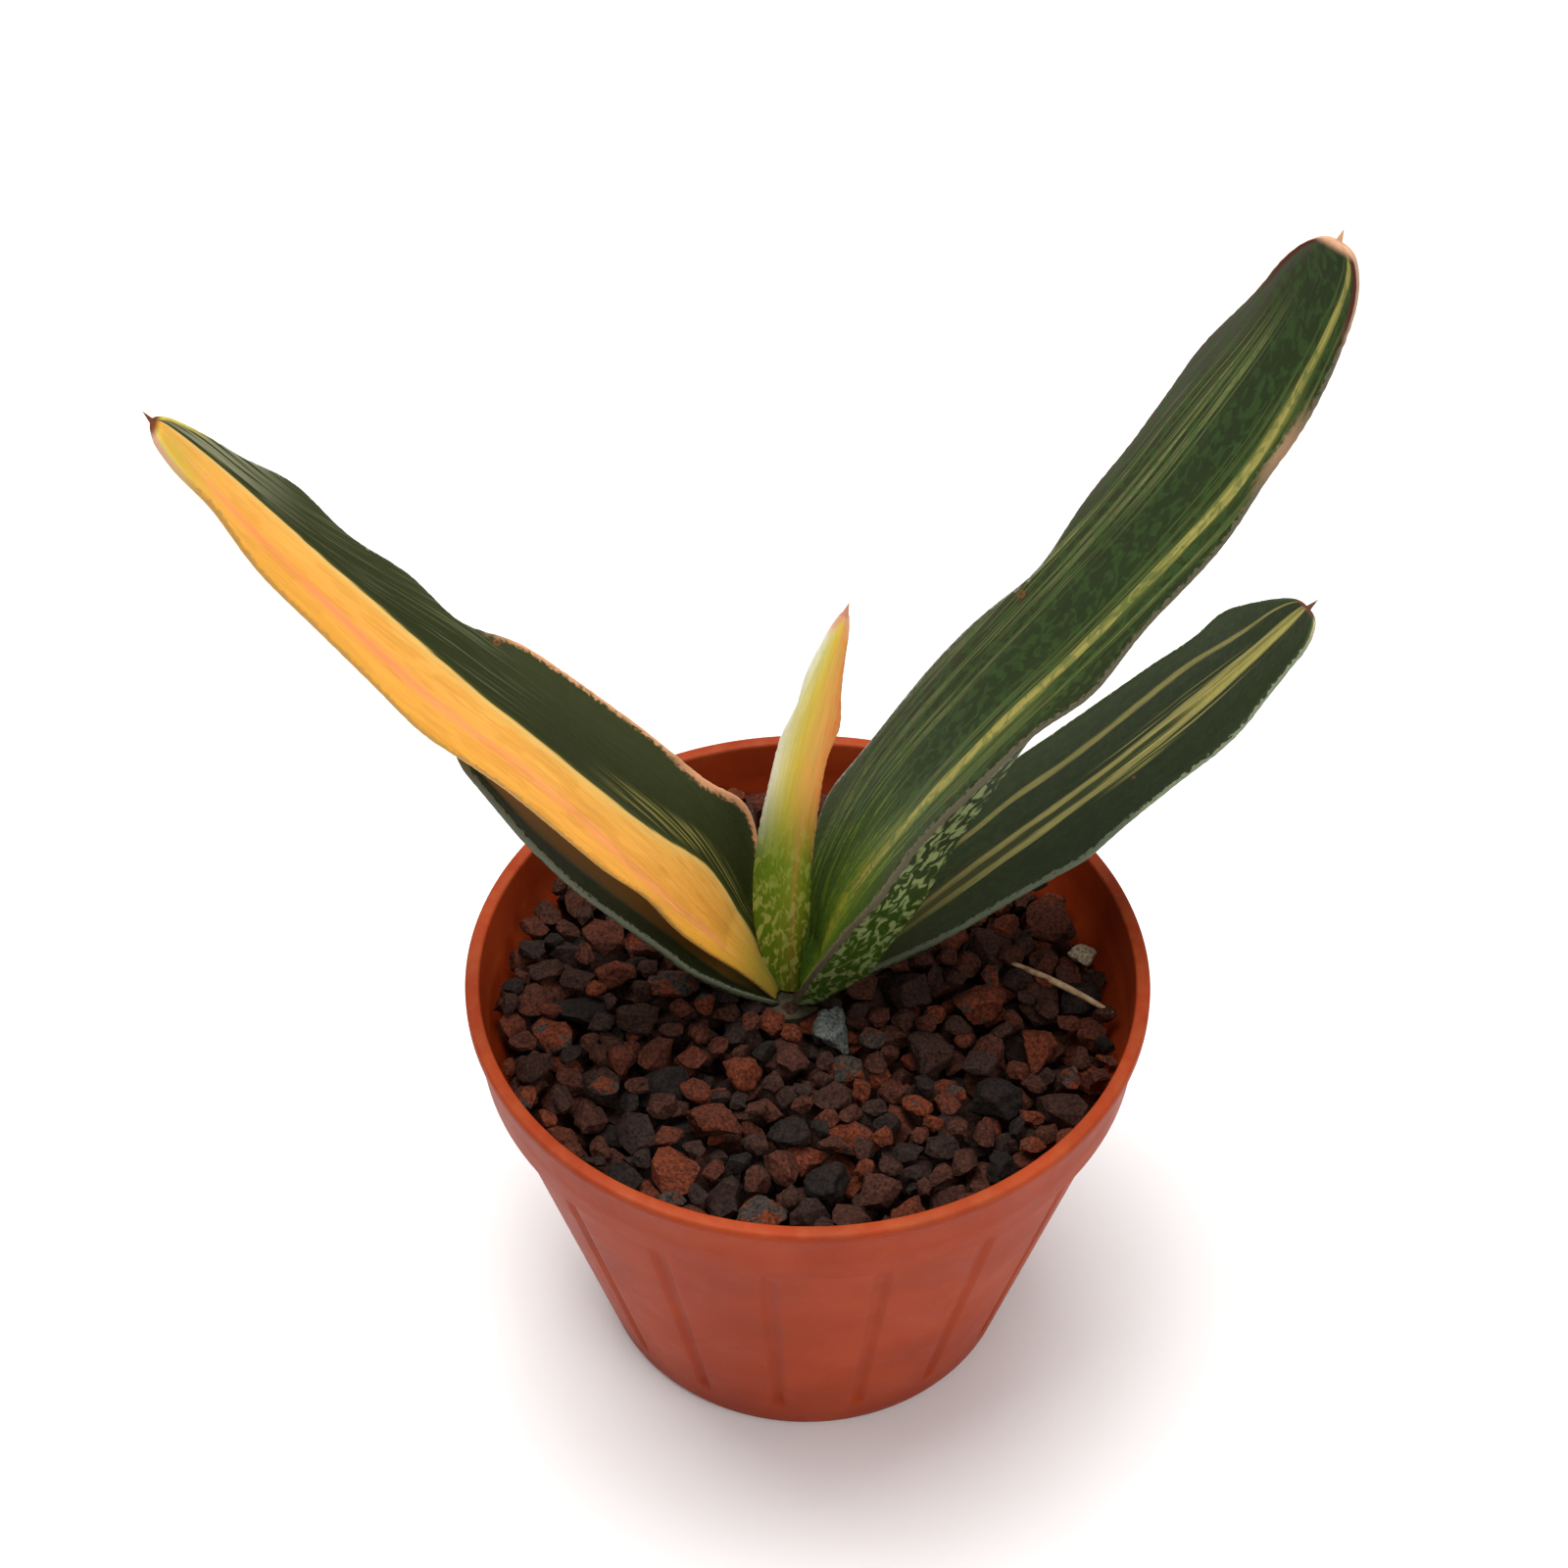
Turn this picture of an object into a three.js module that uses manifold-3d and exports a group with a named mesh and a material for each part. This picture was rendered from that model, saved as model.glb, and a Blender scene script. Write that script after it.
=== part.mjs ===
// A potted gasteria: a round nursery pot, a bed of lava grit with loose stones on it,
// a short stem with roots, and five thick leaves in two opposite ranks.
// Millimetres, +Z up. The origin is on the pot's axis, on the surface the pot stands on.
import * as THREE from 'three'
import Module from 'manifold-3d'
import { mergeVertices } from 'three/addons/utils/BufferGeometryUtils.js'

const wasm = await Module()
wasm.setup()

// ---- Sizes ----------------------------------------------------------------

const touchGap = 0.3 // between pieces that touch

// Pot
const potHeight = 58.5
const rimRadius = 42.5
const baseRadius = 27
const wall = 1.3
const lipOverhang = 0.5 // how far the lip stands out past the collar
const lipHeight = 1.6
const collarHeight = 8.3
const collarTaper = 0.9 // how much the collar narrows on its way down
const collarStep = 0.9 // how far the collar stands out past the body
const baseCorner = 1.2
const footWidth = 1.8
const footHeight = 1.6 // how far the base plate is above the ground
const floorThickness = 1.4
const padRadius = 6.5
const potFacets = 90

// Grooves down the pot's body
const grooveCount = 18
const grooveWidth = 1.2
const grooveDepth = 0.5
const grooveTopMargin = 1.5 // below the collar
const grooveBottomMargin = 6.5 // above the ground
const grooveTurn = -6.5 // degrees, from the front

// Drain holes
const drainCount = 8
const drainRadius = 2.5
const drainCircle = 17

// Grit
const bedDrop = 8.2 // the bed's middle, below the rim
const bedRise = 1.8 // how much higher the bed is at the wall on its high side
const bedHighSide = 130 // degrees, from +X
const bedFacets = 48
const bedRings = 5

// Loose stones on the bed
const stoneCount = 30
const stoneLength = 6.6 // of a middling stone
const stoneSpread = 0.28 // how much longer or shorter a stone can be, as a share
const stoneSink = 0.3 // the share of a stone's height that is in the bed
const stoneWidths = [0.68, 0.88] // narrowest and widest, as a share of the length
const stoneHeights = [0.55, 0.7] // lowest and highest, as a share of the length
const stoneRoughness = 0.2 // how far in a corner can be, as a share
const crownClear = 13.5 // no loose stone's centre is nearer to the plant
const stoneTries = 6000

// Stones with a place of their own, seen from the plant: [degrees from +X, share of
// the way from the stem's side to the wall, length, width, height, turn]
const placedStones = {
  crown_pebble: [-55, 0, 7.2, 4.4, 4.2, 65],
  pale_pebble: [9, 1, 4.6, 3.4, 3, 30],
}

// The dry needle that lies on the bed, with one end at the wall
const needleRadius = 0.5
const needleLength = 14.5
const needleEndAngle = -0.5 // where its outer end is, in degrees from +X
const needleTurn = -33 // which way it points, in degrees from +X
const needleBow = 0.7

// Stem and roots
const plantX = -2.6
const plantY = 4
const plantDrop = 8.5 // where the leaves begin, below the rim
const stemRadius = 5.2
const stemFootRadius = 3.6
const stemLength = 17
const rootCount = 6
const rootRadius = 1.3
const rootTipRadius = 0.5
const rootLength = 24
const rootDrop = 17 // how far a root's tip is below its start
const rootHubHeight = 2.4
const rootDroop = 0.25 // how much a root turns down, as a share of its reach
const rootSway = 0.3

// Leaves. pitch: degrees above level at the base, the middle and the tip.
// heading: degrees from +X at the base and the tip. roll: degrees that the leaf is
// turned about its own length, at the base and the tip. set: how far the leaf's base
// is from the plant's axis, along its heading. widths: at widthPlaces, from where
// tip takes over: how late and how bluntly the end rounds off. far and near: swells
// of the margins away from and towards the front, as [place, size]. curl: how deep
// the face is dished, at the base and further out. keel: how deep the ridge behind
// the near margin is, and the place where it ends.
const widthPlaces = [0, 0.1, 0.25, 0.45, 0.65, 0.8, 0.9]
const fullWidth = 12 // narrower than this, a leaf is dished less
const tipStart = 0.9
const easing = 0.05 // how far along a leaf a change of width is spread
const tipWidth = 0.8
const swellReach = 0.055
const fullSwellWidth = 6 // narrower than this, a leaf swells less
const keelPlace = 0.9 // how near the ridge is to the margin
const keelStart = 0.4 // the share of its depth that the ridge has at the base
const keelRise = 0.1 // how far along the leaf it takes to get its full depth
const edgeThickness = 0.9
const sheathThickness = 1.3
const sheathLength = 0.2 // the share of a leaf in which it gets its thickness
const curlFade = 0.09 // how soon the deep dish of the base levels out
const spineLength = 1.6
const spineWidth = 0.4
const leafSteps = 30
const leafStepsPerRow = 4 // the line of a leaf is followed more finely than its rows
const leafCrowding = 1.25 // how much closer together the rows are at the tip
const leaves = {
  leaf_centre: {
    length: 60.8, pitch: [97.6, 82, 71.3], heading: [25, 29], roll: [-51, -60], set: 0,
    widths: [3.4, 5.2, 7.4, 6.6, 6.4, 5.4, 3.4], tip: [1.3, 0.7],
    far: [[0.78, -0.6]], near: [[0.75, 0.6]],
    thickness: 2.6, curl: [0.5, 0.3], keel: [0, 0.4],
  },
  leaf_left_upper: {
    length: 118, pitch: [75.6, 49.8, 59.8], heading: [192.6, 184.4], roll: [38, 10], set: 1,
    widths: [3, 11, 20.2, 18.5, 17.5, 11.9, 11.2], tip: [1.4, 0.65],
    far: [[0.18, 4], [0.61, -2.3], [0.83, 2.2]],
    near: [[0.28, -1.3], [0.61, 0.8], [0.91, -2.3]],
    thickness: 4.2, curl: [4.2, 1.4], keel: [0, 0.4],
  },
  leaf_right_upper: {
    length: 123.8, pitch: [86.5, 52, 74.4], heading: [-4, 20.4], roll: [-5, -32], set: 0.9,
    widths: [5.5, 17, 18.4, 17.5, 17, 17.4, 11.8], tip: [2.2, 0.5],
    far: [[0.19, 1.6], [0.56, -1.6], [0.85, 1.1]],
    near: [[0.22, 1.1], [0.54, 1.6], [0.79, -1.1]],
    thickness: 4.2, curl: [4.2, 1.4], keel: [6, 0.47],
  },
  leaf_left_lower: {
    length: 58.7, pitch: [51, 51.3, 48.3], heading: [188, 186], roll: [1, 6], set: 1.6,
    widths: [4.6, 9.6, 15, 16.2, 16.6, 13, 7], tip: [1.2, 0.8],
    far: [], near: [[0.3, 0.3]],
    thickness: 3.4, curl: [6.4, 1.2], keel: [0, 0.4],
  },
  leaf_right_lower: {
    length: 79.6, pitch: [42.4, 32.7, 34], heading: [13, 26], roll: [2.5, 2.5], set: 2,
    widths: [6, 9.4, 16.7, 20.2, 18.7, 17.8, 11.2], tip: [2, 0.5],
    far: [[0.9, 2.2]], near: [[0.51, 0.8]],
    thickness: 4, curl: [6.4, 1.2], keel: [0, 0.4],
  },
}

// ---- Places worked out from the sizes --------------------------------------

const collarRadius = rimRadius - lipOverhang
const collarFoot = potHeight - lipHeight - collarHeight
const bodyTopRadius = collarRadius - collarTaper - collarStep
const bodySlope = (bodyTopRadius - baseRadius) / collarFoot
const floorTop = footHeight + floorThickness
const plantZ = potHeight - plantDrop
const plant = new THREE.Vector3(plantX, plantY, plantZ)
const degrees = Math.PI / 180

function bodyRadiusAt(z) {
  return baseRadius + bodySlope * z
}

function innerRadiusAt(z) {
  return bodyRadiusAt(z) - wall
}

function bedRadiusAt(z) {
  return innerRadiusAt(z) - touchGap
}

function bedHeightAt(x, y) {
  const high = bedHighSide * degrees
  const across = x * Math.cos(high) + y * Math.sin(high)
  return potHeight - bedDrop + bedRise * across / rimRadius
}

// ---- Materials --------------------------------------------------------------

function material(colour, roughness) {
  return new THREE.MeshStandardMaterial({ color: colour, roughness, metalness: 0 })
}

const terracottaPlastic = material(0xb2522f, 0.55)
const lavaGrit = material(0x4a2f2b, 0.95)
const lavaStone = material(0x6a3d33, 0.95)
const greyStone = material(0x55544f, 0.85)
const paleStone = material(0x9b8d78, 0.9)
const dryNeedle = material(0xa98660, 0.8)
const stemTissue = material(0x8d8a5c, 0.7)
const rootTissue = material(0xb9a583, 0.85)
const leafSkin = material(0x2f4a2c, 0.4)
const youngLeafSkin = material(0x9fae3c, 0.4)

// ---- Solids -----------------------------------------------------------------

function toSolid(geometry) {
  const bare = geometry.clone()
  bare.deleteAttribute('normal')
  bare.deleteAttribute('uv')
  const welded = mergeVertices(bare, 1e-4)
  const mesh = new wasm.Mesh({
    numProp: 3,
    vertProperties: new Float32Array(welded.attributes.position.array),
    triVerts: new Uint32Array(welded.index.array),
  })
  mesh.merge()
  return new wasm.Manifold(mesh)
}

function toGeometry(solid) {
  const mesh = solid.getMesh()
  const geometry = new THREE.BufferGeometry()
  geometry.setAttribute('position', new THREE.BufferAttribute(mesh.vertProperties, 3))
  geometry.setIndex(new THREE.BufferAttribute(mesh.triVerts, 1))
  geometry.computeVertexNormals()
  return geometry
}

// A cut can leave crumbs: the piece itself is the largest body.
function largestBody(solid) {
  let largest = null
  for (const body of solid.decompose()) {
    if (largest === null || body.volume() > largest.volume()) largest = body
  }
  return largest
}

function cutAll(solid, cutters) {
  let rest = solid
  for (const cutter of cutters) rest = rest.subtract(cutter)
  return largestBody(rest)
}

// The same random numbers every time.
function randomNumbers(seed) {
  let state = seed
  return () => {
    state = (state * 1664525 + 1013904223) % 4294967296
    return state / 4294967296
  }
}

function between([low, high], share) {
  return low + (high - low) * share
}

// A closed surface over rings of equally many points, with a point at its far end.
// Its first end is a fan around firstPoint, or, with none, a strip from side to side.
function loft(rings, lastPoint, firstPoint = null) {
  const count = rings[0].length
  const points = [...rings.flat(), lastPoint]
  const last = points.length - 1
  const faces = []
  if (firstPoint === null) {
    for (let i = 0; i < count / 2 - 1; i += 1) {
      faces.push(i, count - 1 - i, count - 2 - i)
      faces.push(i, count - 2 - i, i + 1)
    }
  } else {
    points.push(firstPoint)
    for (let i = 0; i < count; i += 1) faces.push(last + 1, (i + 1) % count, i)
  }
  for (let i = 0; i < count; i += 1) {
    const next = (i + 1) % count
    for (let ring = 0; ring < rings.length - 1; ring += 1) {
      const here = ring * count
      const above = here + count
      faces.push(here + i, here + next, above + next)
      faces.push(here + i, above + next, above + i)
    }
    const top = (rings.length - 1) * count
    faces.push(last, top + i, top + next)
  }
  const geometry = new THREE.BufferGeometry()
  geometry.setFromPoints(points)
  geometry.setIndex(faces)
  return geometry
}

// ---- Pot --------------------------------------------------------------------

function potShell() {
  const outline = [
    [0, 0],
    [padRadius, 0],
    [padRadius, footHeight],
    [baseRadius - footWidth, footHeight],
    [baseRadius - footWidth, 0],
    [baseRadius - baseCorner / 2, 0],
    [bodyRadiusAt(baseCorner), baseCorner],
    [bodyTopRadius, collarFoot],
    [bodyTopRadius + collarStep, collarFoot],
    [collarRadius, potHeight - lipHeight],
    [rimRadius, potHeight - lipHeight],
    [rimRadius, potHeight],
    [collarRadius - wall, potHeight],
    [bodyTopRadius + collarStep - wall, collarFoot],
    [innerRadiusAt(collarFoot), collarFoot - collarStep],
    [innerRadiusAt(floorTop), floorTop],
    [0, floorTop],
  ]
  const points = outline.map(([radius, z]) => new THREE.Vector2(radius, z))
  const shell = new THREE.LatheGeometry(points, potFacets)
  shell.rotateX(90 * degrees)
  return toSolid(shell)
}

function grooveCutter(angle) {
  const low = grooveBottomMargin
  const high = collarFoot - grooveTopMargin
  const cutter = new THREE.BoxGeometry(2 * grooveDepth, grooveWidth, high - low)
  cutter.rotateY(Math.atan(bodySlope))
  const middle = (low + high) / 2
  cutter.translate(bodyRadiusAt(middle), 0, middle)
  cutter.rotateZ(angle)
  return toSolid(cutter)
}

function drainCutter(angle) {
  const cutter = new THREE.CylinderGeometry(drainRadius, drainRadius, 2 * floorTop, 24)
  cutter.rotateX(90 * degrees)
  cutter.translate(drainCircle, 0, floorTop)
  cutter.rotateZ(angle)
  return toSolid(cutter)
}

function pot() {
  const cutters = []
  for (let i = 0; i < grooveCount; i += 1) {
    cutters.push(grooveCutter((grooveTurn - 90 + i * 360 / grooveCount) * degrees))
  }
  for (let i = 0; i < drainCount; i += 1) {
    cutters.push(drainCutter(i * 360 / drainCount * degrees))
  }
  return cutAll(potShell(), cutters)
}

// ---- Leaves -----------------------------------------------------------------

function along(values, share) {
  if (values.length === 2) return values[0] + (values[1] - values[0]) * share
  const [base, middle, tip] = values
  const bend = 2 * (base + tip - 2 * middle)
  return base + (tip - base - bend) * share + bend * share * share
}

// The width with sharp changes: between widthPlaces, and rounded off at the tip.
function plainWidth(leaf, share) {
  const { widths } = leaf
  if (share >= tipStart) {
    const [late, blunt] = leaf.tip
    const past = Math.min((share - tipStart) / (1 - tipStart), 1)
    return tipWidth + (widths.at(-1) - tipWidth) * (1 - past ** late) ** blunt
  }
  let i = 0
  while (i < widthPlaces.length - 2 && share > widthPlaces[i + 1]) i += 1
  const part = (share - widthPlaces[i]) / (widthPlaces[i + 1] - widthPlaces[i])
  return widths[i] + (widths[i + 1] - widths[i]) * part
}

// The width, eased over a stretch that gets shorter towards both ends.
function widthAt(leaf, share) {
  const reach = Math.min(easing, share, (1 - share) / 2)
  const places = [-1, -0.5, 0, 0.5, 1].map((step) => share + step * reach)
  return places.reduce((sum, place) => sum + plainWidth(leaf, place), 0) / places.length
}

// How far a margin swells out past the plain width.
function swellAt(leaf, swells, share) {
  const fade = Math.min(widthAt(leaf, share) / fullSwellWidth, 1)
  let sum = 0
  for (const [place, size] of swells) {
    sum += size * Math.exp(-(((share - place) / swellReach) ** 2))
  }
  return sum * fade
}

function thicknessAt(leaf, share) {
  const swell = Math.min(share / sheathLength, 1)
  const taper = Math.sqrt(Math.max(1 - share ** 3, 0))
  return sheathThickness + (leaf.thickness * taper - sheathThickness) * swell * taper
}

function curlAt(leaf, share) {
  const [base, far] = leaf.curl
  const slim = Math.min(widthAt(leaf, share) / fullWidth, 1) ** 2
  const depth = far + (base - far) * Math.exp(-share / curlFade)
  return depth * slim * Math.sqrt(Math.max(1 - share, 0))
}

function keelAt(leaf, share) {
  const [depth, end] = leaf.keel
  const rise = Math.min(keelStart + (1 - keelStart) * share / keelRise, 1)
  return depth * rise * Math.max(1 - (share / end) ** 3, 0)
}

function leafDirections(leaf, share) {
  const pitch = along(leaf.pitch, share) * degrees
  const heading = along(leaf.heading, share) * degrees
  const roll = along(leaf.roll, share) * degrees
  const level = new THREE.Vector3(Math.cos(heading), Math.sin(heading), 0)
  const forward = level.multiplyScalar(Math.cos(pitch))
  forward.z = Math.sin(pitch)
  const side = new THREE.Vector3(Math.sin(heading), -Math.cos(heading), 0)
  const up = new THREE.Vector3().crossVectors(side, forward)
  side.applyAxisAngle(forward, -roll)
  up.applyAxisAngle(forward, -roll)
  return { forward, side, up }
}

// The side of a leaf that is towards the front: left leaves turn the other way.
function nearSide(leaf) {
  return Math.cos(leaf.heading[0] * degrees) > 0 ? 1 : -1
}

function leafRing(leaf, share, centre, grow) {
  const { side, up } = leafDirections(leaf, share)
  const near = nearSide(leaf)
  const bareHalf = widthAt(leaf, share) / 2
  const thick = thicknessAt(leaf, share) * widthFade(leaf, share)
  const curl = curlAt(leaf, share)
  const keel = keelAt(leaf, share)
  const farSwell = swellAt(leaf, leaf.far, share)
  const nearSwell = swellAt(leaf, leaf.near, share)
  const places = [-1, -keelPlace, -0.5, 0, 0.5, keelPlace, 1]
  const point = (across, lift) => {
    const swell = across > 0 ? nearSwell : farSwell
    const out = across * (bareHalf + swell + grow)
    const dish = curl * ((out / (bareHalf + swell)) ** 2 - 1)
    const spot = centre.clone().addScaledVector(side, near * out)
    return spot.addScaledVector(up, dish + lift)
  }
  const edge = edgeThickness * widthFade(leaf, share) / 2
  const face = places.map((across) => point(across, edge + grow))
  const back = places.map((across) => {
    const body = Math.max(thick - 2 * edge, 0) * (1 - across * across)
    const ridge = across > keelPlace ? 0 : ((1 + across) / (1 + keelPlace)) ** 2
    return point(across, -edge - grow - body - keel * ridge)
  })
  const ring = [...face, ...back.reverse()]
  return near > 0 ? ring : ring.reverse()
}

// Thin where the leaf is narrow, so that a tip stays slender.
function widthFade(leaf, share) {
  return Math.min(widthAt(leaf, share) / leaf.thickness, 1)
}

function leafSolid(leaf, grow) {
  const rings = []
  const centre = plant.clone()
  const first = leafDirections(leaf, 0)
  const out = leaf.heading[0] * degrees
  centre.x += leaf.set * Math.cos(out)
  centre.y += leaf.set * Math.sin(out)
  const steps = leafSteps * leafStepsPerRow
  const foot = centre.clone().addScaledVector(first.forward, -grow)
  rings.push(leafRing(leaf, 0, foot, grow))
  let before = 0
  for (let i = 1; i <= steps; i += 1) {
    const share = 1 - (1 - i / steps) ** leafCrowding
    const { forward } = leafDirections(leaf, (before + share) / 2)
    centre.addScaledVector(forward, leaf.length * (share - before))
    if (i % leafStepsPerRow === 0) rings.push(leafRing(leaf, share, centre.clone(), grow))
    before = share
  }
  const last = leafDirections(leaf, 1)
  const spineRing = rings[rings.length - 1].map((point) => {
    const arm = point.clone().sub(centre)
    arm.setLength(spineWidth / 2 + grow)
    return arm.add(centre).addScaledVector(last.forward, spineLength)
  })
  rings.push(spineRing)
  const spineEnd = centre.clone().addScaledVector(last.forward, spineLength + grow + spineWidth)
  return toSolid(loft(rings, spineEnd))
}

// Each leaf gives way to the ones that grew after it, inside it.
function allLeaves() {
  const made = {}
  const cutters = []
  for (const [name, leaf] of Object.entries(leaves)) {
    made[name] = cutAll(leafSolid(leaf, 0), cutters)
    cutters.push(leafSolid(leaf, touchGap))
  }
  return { made, cutters }
}

// ---- Stem and roots -----------------------------------------------------------

function stemBlank(grow) {
  const top = plantZ + grow
  const foot = plantZ - stemLength - grow
  const stem = new THREE.CylinderGeometry(
    stemRadius + grow, stemFootRadius + grow, top - foot, 24)
  stem.rotateX(90 * degrees)
  stem.translate(plantX, plantY, (top + foot) / 2)
  return toSolid(stem)
}

function rootPath(index, grow) {
  const turn = index * 360 / rootCount * degrees
  const start = plantZ - stemLength - touchGap - rootHubHeight / 2
  const places = []
  for (let i = 0; i <= 6; i += 1) {
    const share = i / 6 * (1 + grow / rootLength)
    const out = rootLength * share * (1 - rootDroop * share)
    const sway = rootSway * Math.sin(3 * share + index)
    places.push(new THREE.Vector3(
      plantX + out * Math.cos(turn + sway),
      plantY + out * Math.sin(turn + sway),
      start - rootDrop * share * share,
    ))
  }
  return new THREE.CatmullRomCurve3(places)
}

function rootSolid(index, grow) {
  const path = rootPath(index, grow)
  const rings = []
  const sides = 8
  const steps = 10
  for (let i = 0; i <= steps; i += 1) {
    const share = i / steps
    const centre = path.getPoint(share)
    const forward = path.getTangent(share)
    const side = new THREE.Vector3(forward.y, -forward.x, 0).normalize()
    const up = new THREE.Vector3().crossVectors(side, forward)
    const radius = rootRadius + (rootTipRadius - rootRadius) * share + grow
    const ring = []
    for (let j = 0; j < sides; j += 1) {
      const angle = -j * 360 / sides * degrees
      const spot = centre.clone().addScaledVector(side, radius * Math.cos(angle))
      ring.push(spot.addScaledVector(up, radius * Math.sin(angle)))
    }
    rings.push(ring)
  }
  return toSolid(loft(rings, path.getPoint(1), path.getPoint(0)))
}

function roots(grow) {
  const hub = new THREE.CylinderGeometry(
    stemFootRadius + grow, stemFootRadius + grow, rootHubHeight + 2 * grow, 24)
  hub.rotateX(90 * degrees)
  hub.translate(plantX, plantY, plantZ - stemLength - touchGap - rootHubHeight / 2)
  let solid = toSolid(hub)
  for (let i = 0; i < rootCount; i += 1) solid = solid.add(rootSolid(i, grow))
  return solid
}

// ---- Stones and needle ----------------------------------------------------------

function stoneSolid(stone, grow) {
  const random = randomNumbers(stone.seed)
  const bare = new THREE.IcosahedronGeometry(1, 1)
  bare.deleteAttribute('normal')
  bare.deleteAttribute('uv')
  const blank = mergeVertices(bare, 1e-4)
  const places = blank.attributes.position
  const corner = new THREE.Vector3()
  for (let i = 0; i < places.count; i += 1) {
    corner.fromBufferAttribute(places, i)
    corner.multiplyScalar(between([1 - stoneRoughness, 1], random()))
    corner.multiply(new THREE.Vector3(
      stone.length / 2 + grow, stone.width / 2 + grow, stone.height / 2 + grow))
    places.setXYZ(i, corner.x, corner.y, corner.z)
  }
  blank.rotateZ(stone.turn * degrees)
  blank.translate(stone.x, stone.y, stone.z)
  return toSolid(blank)
}

function rested(stone) {
  const lift = stone.height * (0.5 - stoneSink)
  return { ...stone, z: bedHeightAt(stone.x, stone.y) + lift }
}

function placedStone(seed, [angle, share, length, width, height, turn]) {
  const reach = bedRadiusAt(potHeight - bedDrop) - length / 2 - touchGap
  const towards = new THREE.Vector2(Math.cos(angle * degrees), Math.sin(angle * degrees))
  const back = plantX * towards.x + plantY * towards.y
  const far = Math.sqrt(back ** 2 + reach ** 2 - plantX ** 2 - plantY ** 2) - back
  const near = stemRadius + length / 2 + 2 * touchGap
  const out = near + (far - near) * share
  const x = plantX + out * towards.x
  const y = plantY + out * towards.y
  return rested({ seed, x, y, length, width, height, turn })
}

function needlePlace(share) {
  const reach = bedRadiusAt(potHeight - bedDrop) - 2 * needleRadius
  const end = needleEndAngle * degrees
  const back = needleLength * (1 - share)
  const bow = needleBow * (1 - 4 * (share - 0.5) ** 2)
  const turn = needleTurn * degrees
  const x = reach * Math.cos(end) - back * Math.cos(turn) - bow * Math.sin(turn)
  const y = reach * Math.sin(end) - back * Math.sin(turn) + bow * Math.cos(turn)
  return new THREE.Vector3(x, y, 0)
}

function needleSolid(grow) {
  const places = []
  const rest = potHeight - bedDrop + needleRadius + touchGap
  for (let i = 0; i <= 4; i += 1) {
    const place = needlePlace(i / 4)
    place.z = rest
    places.push(place)
  }
  const section = new THREE.Shape()
  section.absarc(0, 0, needleRadius + grow, 0, 2 * Math.PI)
  const needle = new THREE.ExtrudeGeometry(section, {
    extrudePath: new THREE.CatmullRomCurve3(places), steps: 12, curveSegments: 4,
  })
  return toSolid(needle)
}

function clearOf(stone, others) {
  return others.every((other) => {
    const apart = Math.hypot(stone.x - other.x, stone.y - other.y)
    return apart > (stone.length + other.length) / 2 + 2 * touchGap
  })
}

function clearOfNeedle(stone) {
  for (let i = 0; i <= 8; i += 1) {
    const place = needlePlace(i / 8)
    const apart = Math.hypot(stone.x - place.x, stone.y - place.y)
    if (apart < stone.length / 2 + needleRadius + 2 * touchGap) return false
  }
  return true
}

function looseStones(taken) {
  const random = randomNumbers(11)
  const stones = []
  for (let tries = 0; tries < stoneTries && stones.length < stoneCount; tries += 1) {
    const length = stoneLength * between([1 - stoneSpread, 1 + stoneSpread], random())
    const reach = bedRadiusAt(potHeight - bedDrop) - length / 2 - touchGap
    const radius = reach * Math.sqrt(random())
    const angle = 360 * random() * degrees
    const stone = rested({
      seed: 101 + tries,
      x: radius * Math.cos(angle),
      y: radius * Math.sin(angle),
      length,
      width: length * between(stoneWidths, random()),
      height: length * between(stoneHeights, random()),
      turn: 360 * random(),
    })
    const fromPlant = Math.hypot(stone.x - plantX, stone.y - plantY)
    if (fromPlant < crownClear) continue
    if (clearOf(stone, [...taken, ...stones]) && clearOfNeedle(stone)) stones.push(stone)
  }
  return stones
}

// ---- Grit bed --------------------------------------------------------------------

function bedBlank() {
  const bottom = floorTop + touchGap
  const rings = []
  const ringAt = (share, heightOf) => {
    const ring = []
    for (let i = 0; i < bedFacets; i += 1) {
      const angle = i * 360 / bedFacets * degrees
      const around = new THREE.Vector3(Math.cos(angle), Math.sin(angle), 0)
      ring.push(heightOf(around, share))
    }
    return ring
  }
  const onFloor = (around, share) => {
    const spot = around.clone().multiplyScalar(bedRadiusAt(bottom) * share)
    spot.z = bottom
    return spot
  }
  const onTop = (around, share) => {
    const rim = around.clone().multiplyScalar(bedRadiusAt(potHeight - bedDrop - bedRise))
    const height = bedHeightAt(rim.x, rim.y)
    const reach = Math.min(bedRadiusAt(height), bedRadiusAt(collarFoot - collarStep)) * share
    const spot = around.clone().multiplyScalar(reach)
    spot.z = bedHeightAt(spot.x, spot.y)
    return spot
  }
  rings.push(ringAt(1, onFloor))
  for (let i = bedRings; i >= 1; i -= 1) rings.push(ringAt(i / bedRings, onTop))
  const floorMiddle = new THREE.Vector3(0, 0, bottom)
  const topMiddle = new THREE.Vector3(0, 0, bedHeightAt(0, 0))
  return toSolid(loft(rings, topMiddle, floorMiddle))
}

// ---- The whole object ----------------------------------------------------------------

const group = new THREE.Group()
group.name = 'potted_gasteria'

function addPiece(name, solid, look) {
  const mesh = new THREE.Mesh(toGeometry(solid), look)
  mesh.name = name
  group.add(mesh)
}

addPiece('pot', pot(), terracottaPlastic)

const { made: leafPieces, cutters: leafCutters } = allLeaves()
for (const [name, solid] of Object.entries(leafPieces)) {
  addPiece(name, solid, name === 'leaf_centre' ? youngLeafSkin : leafSkin)
}

addPiece('stem', cutAll(stemBlank(0), leafCutters), stemTissue)
addPiece('roots', roots(0), rootTissue)

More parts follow.
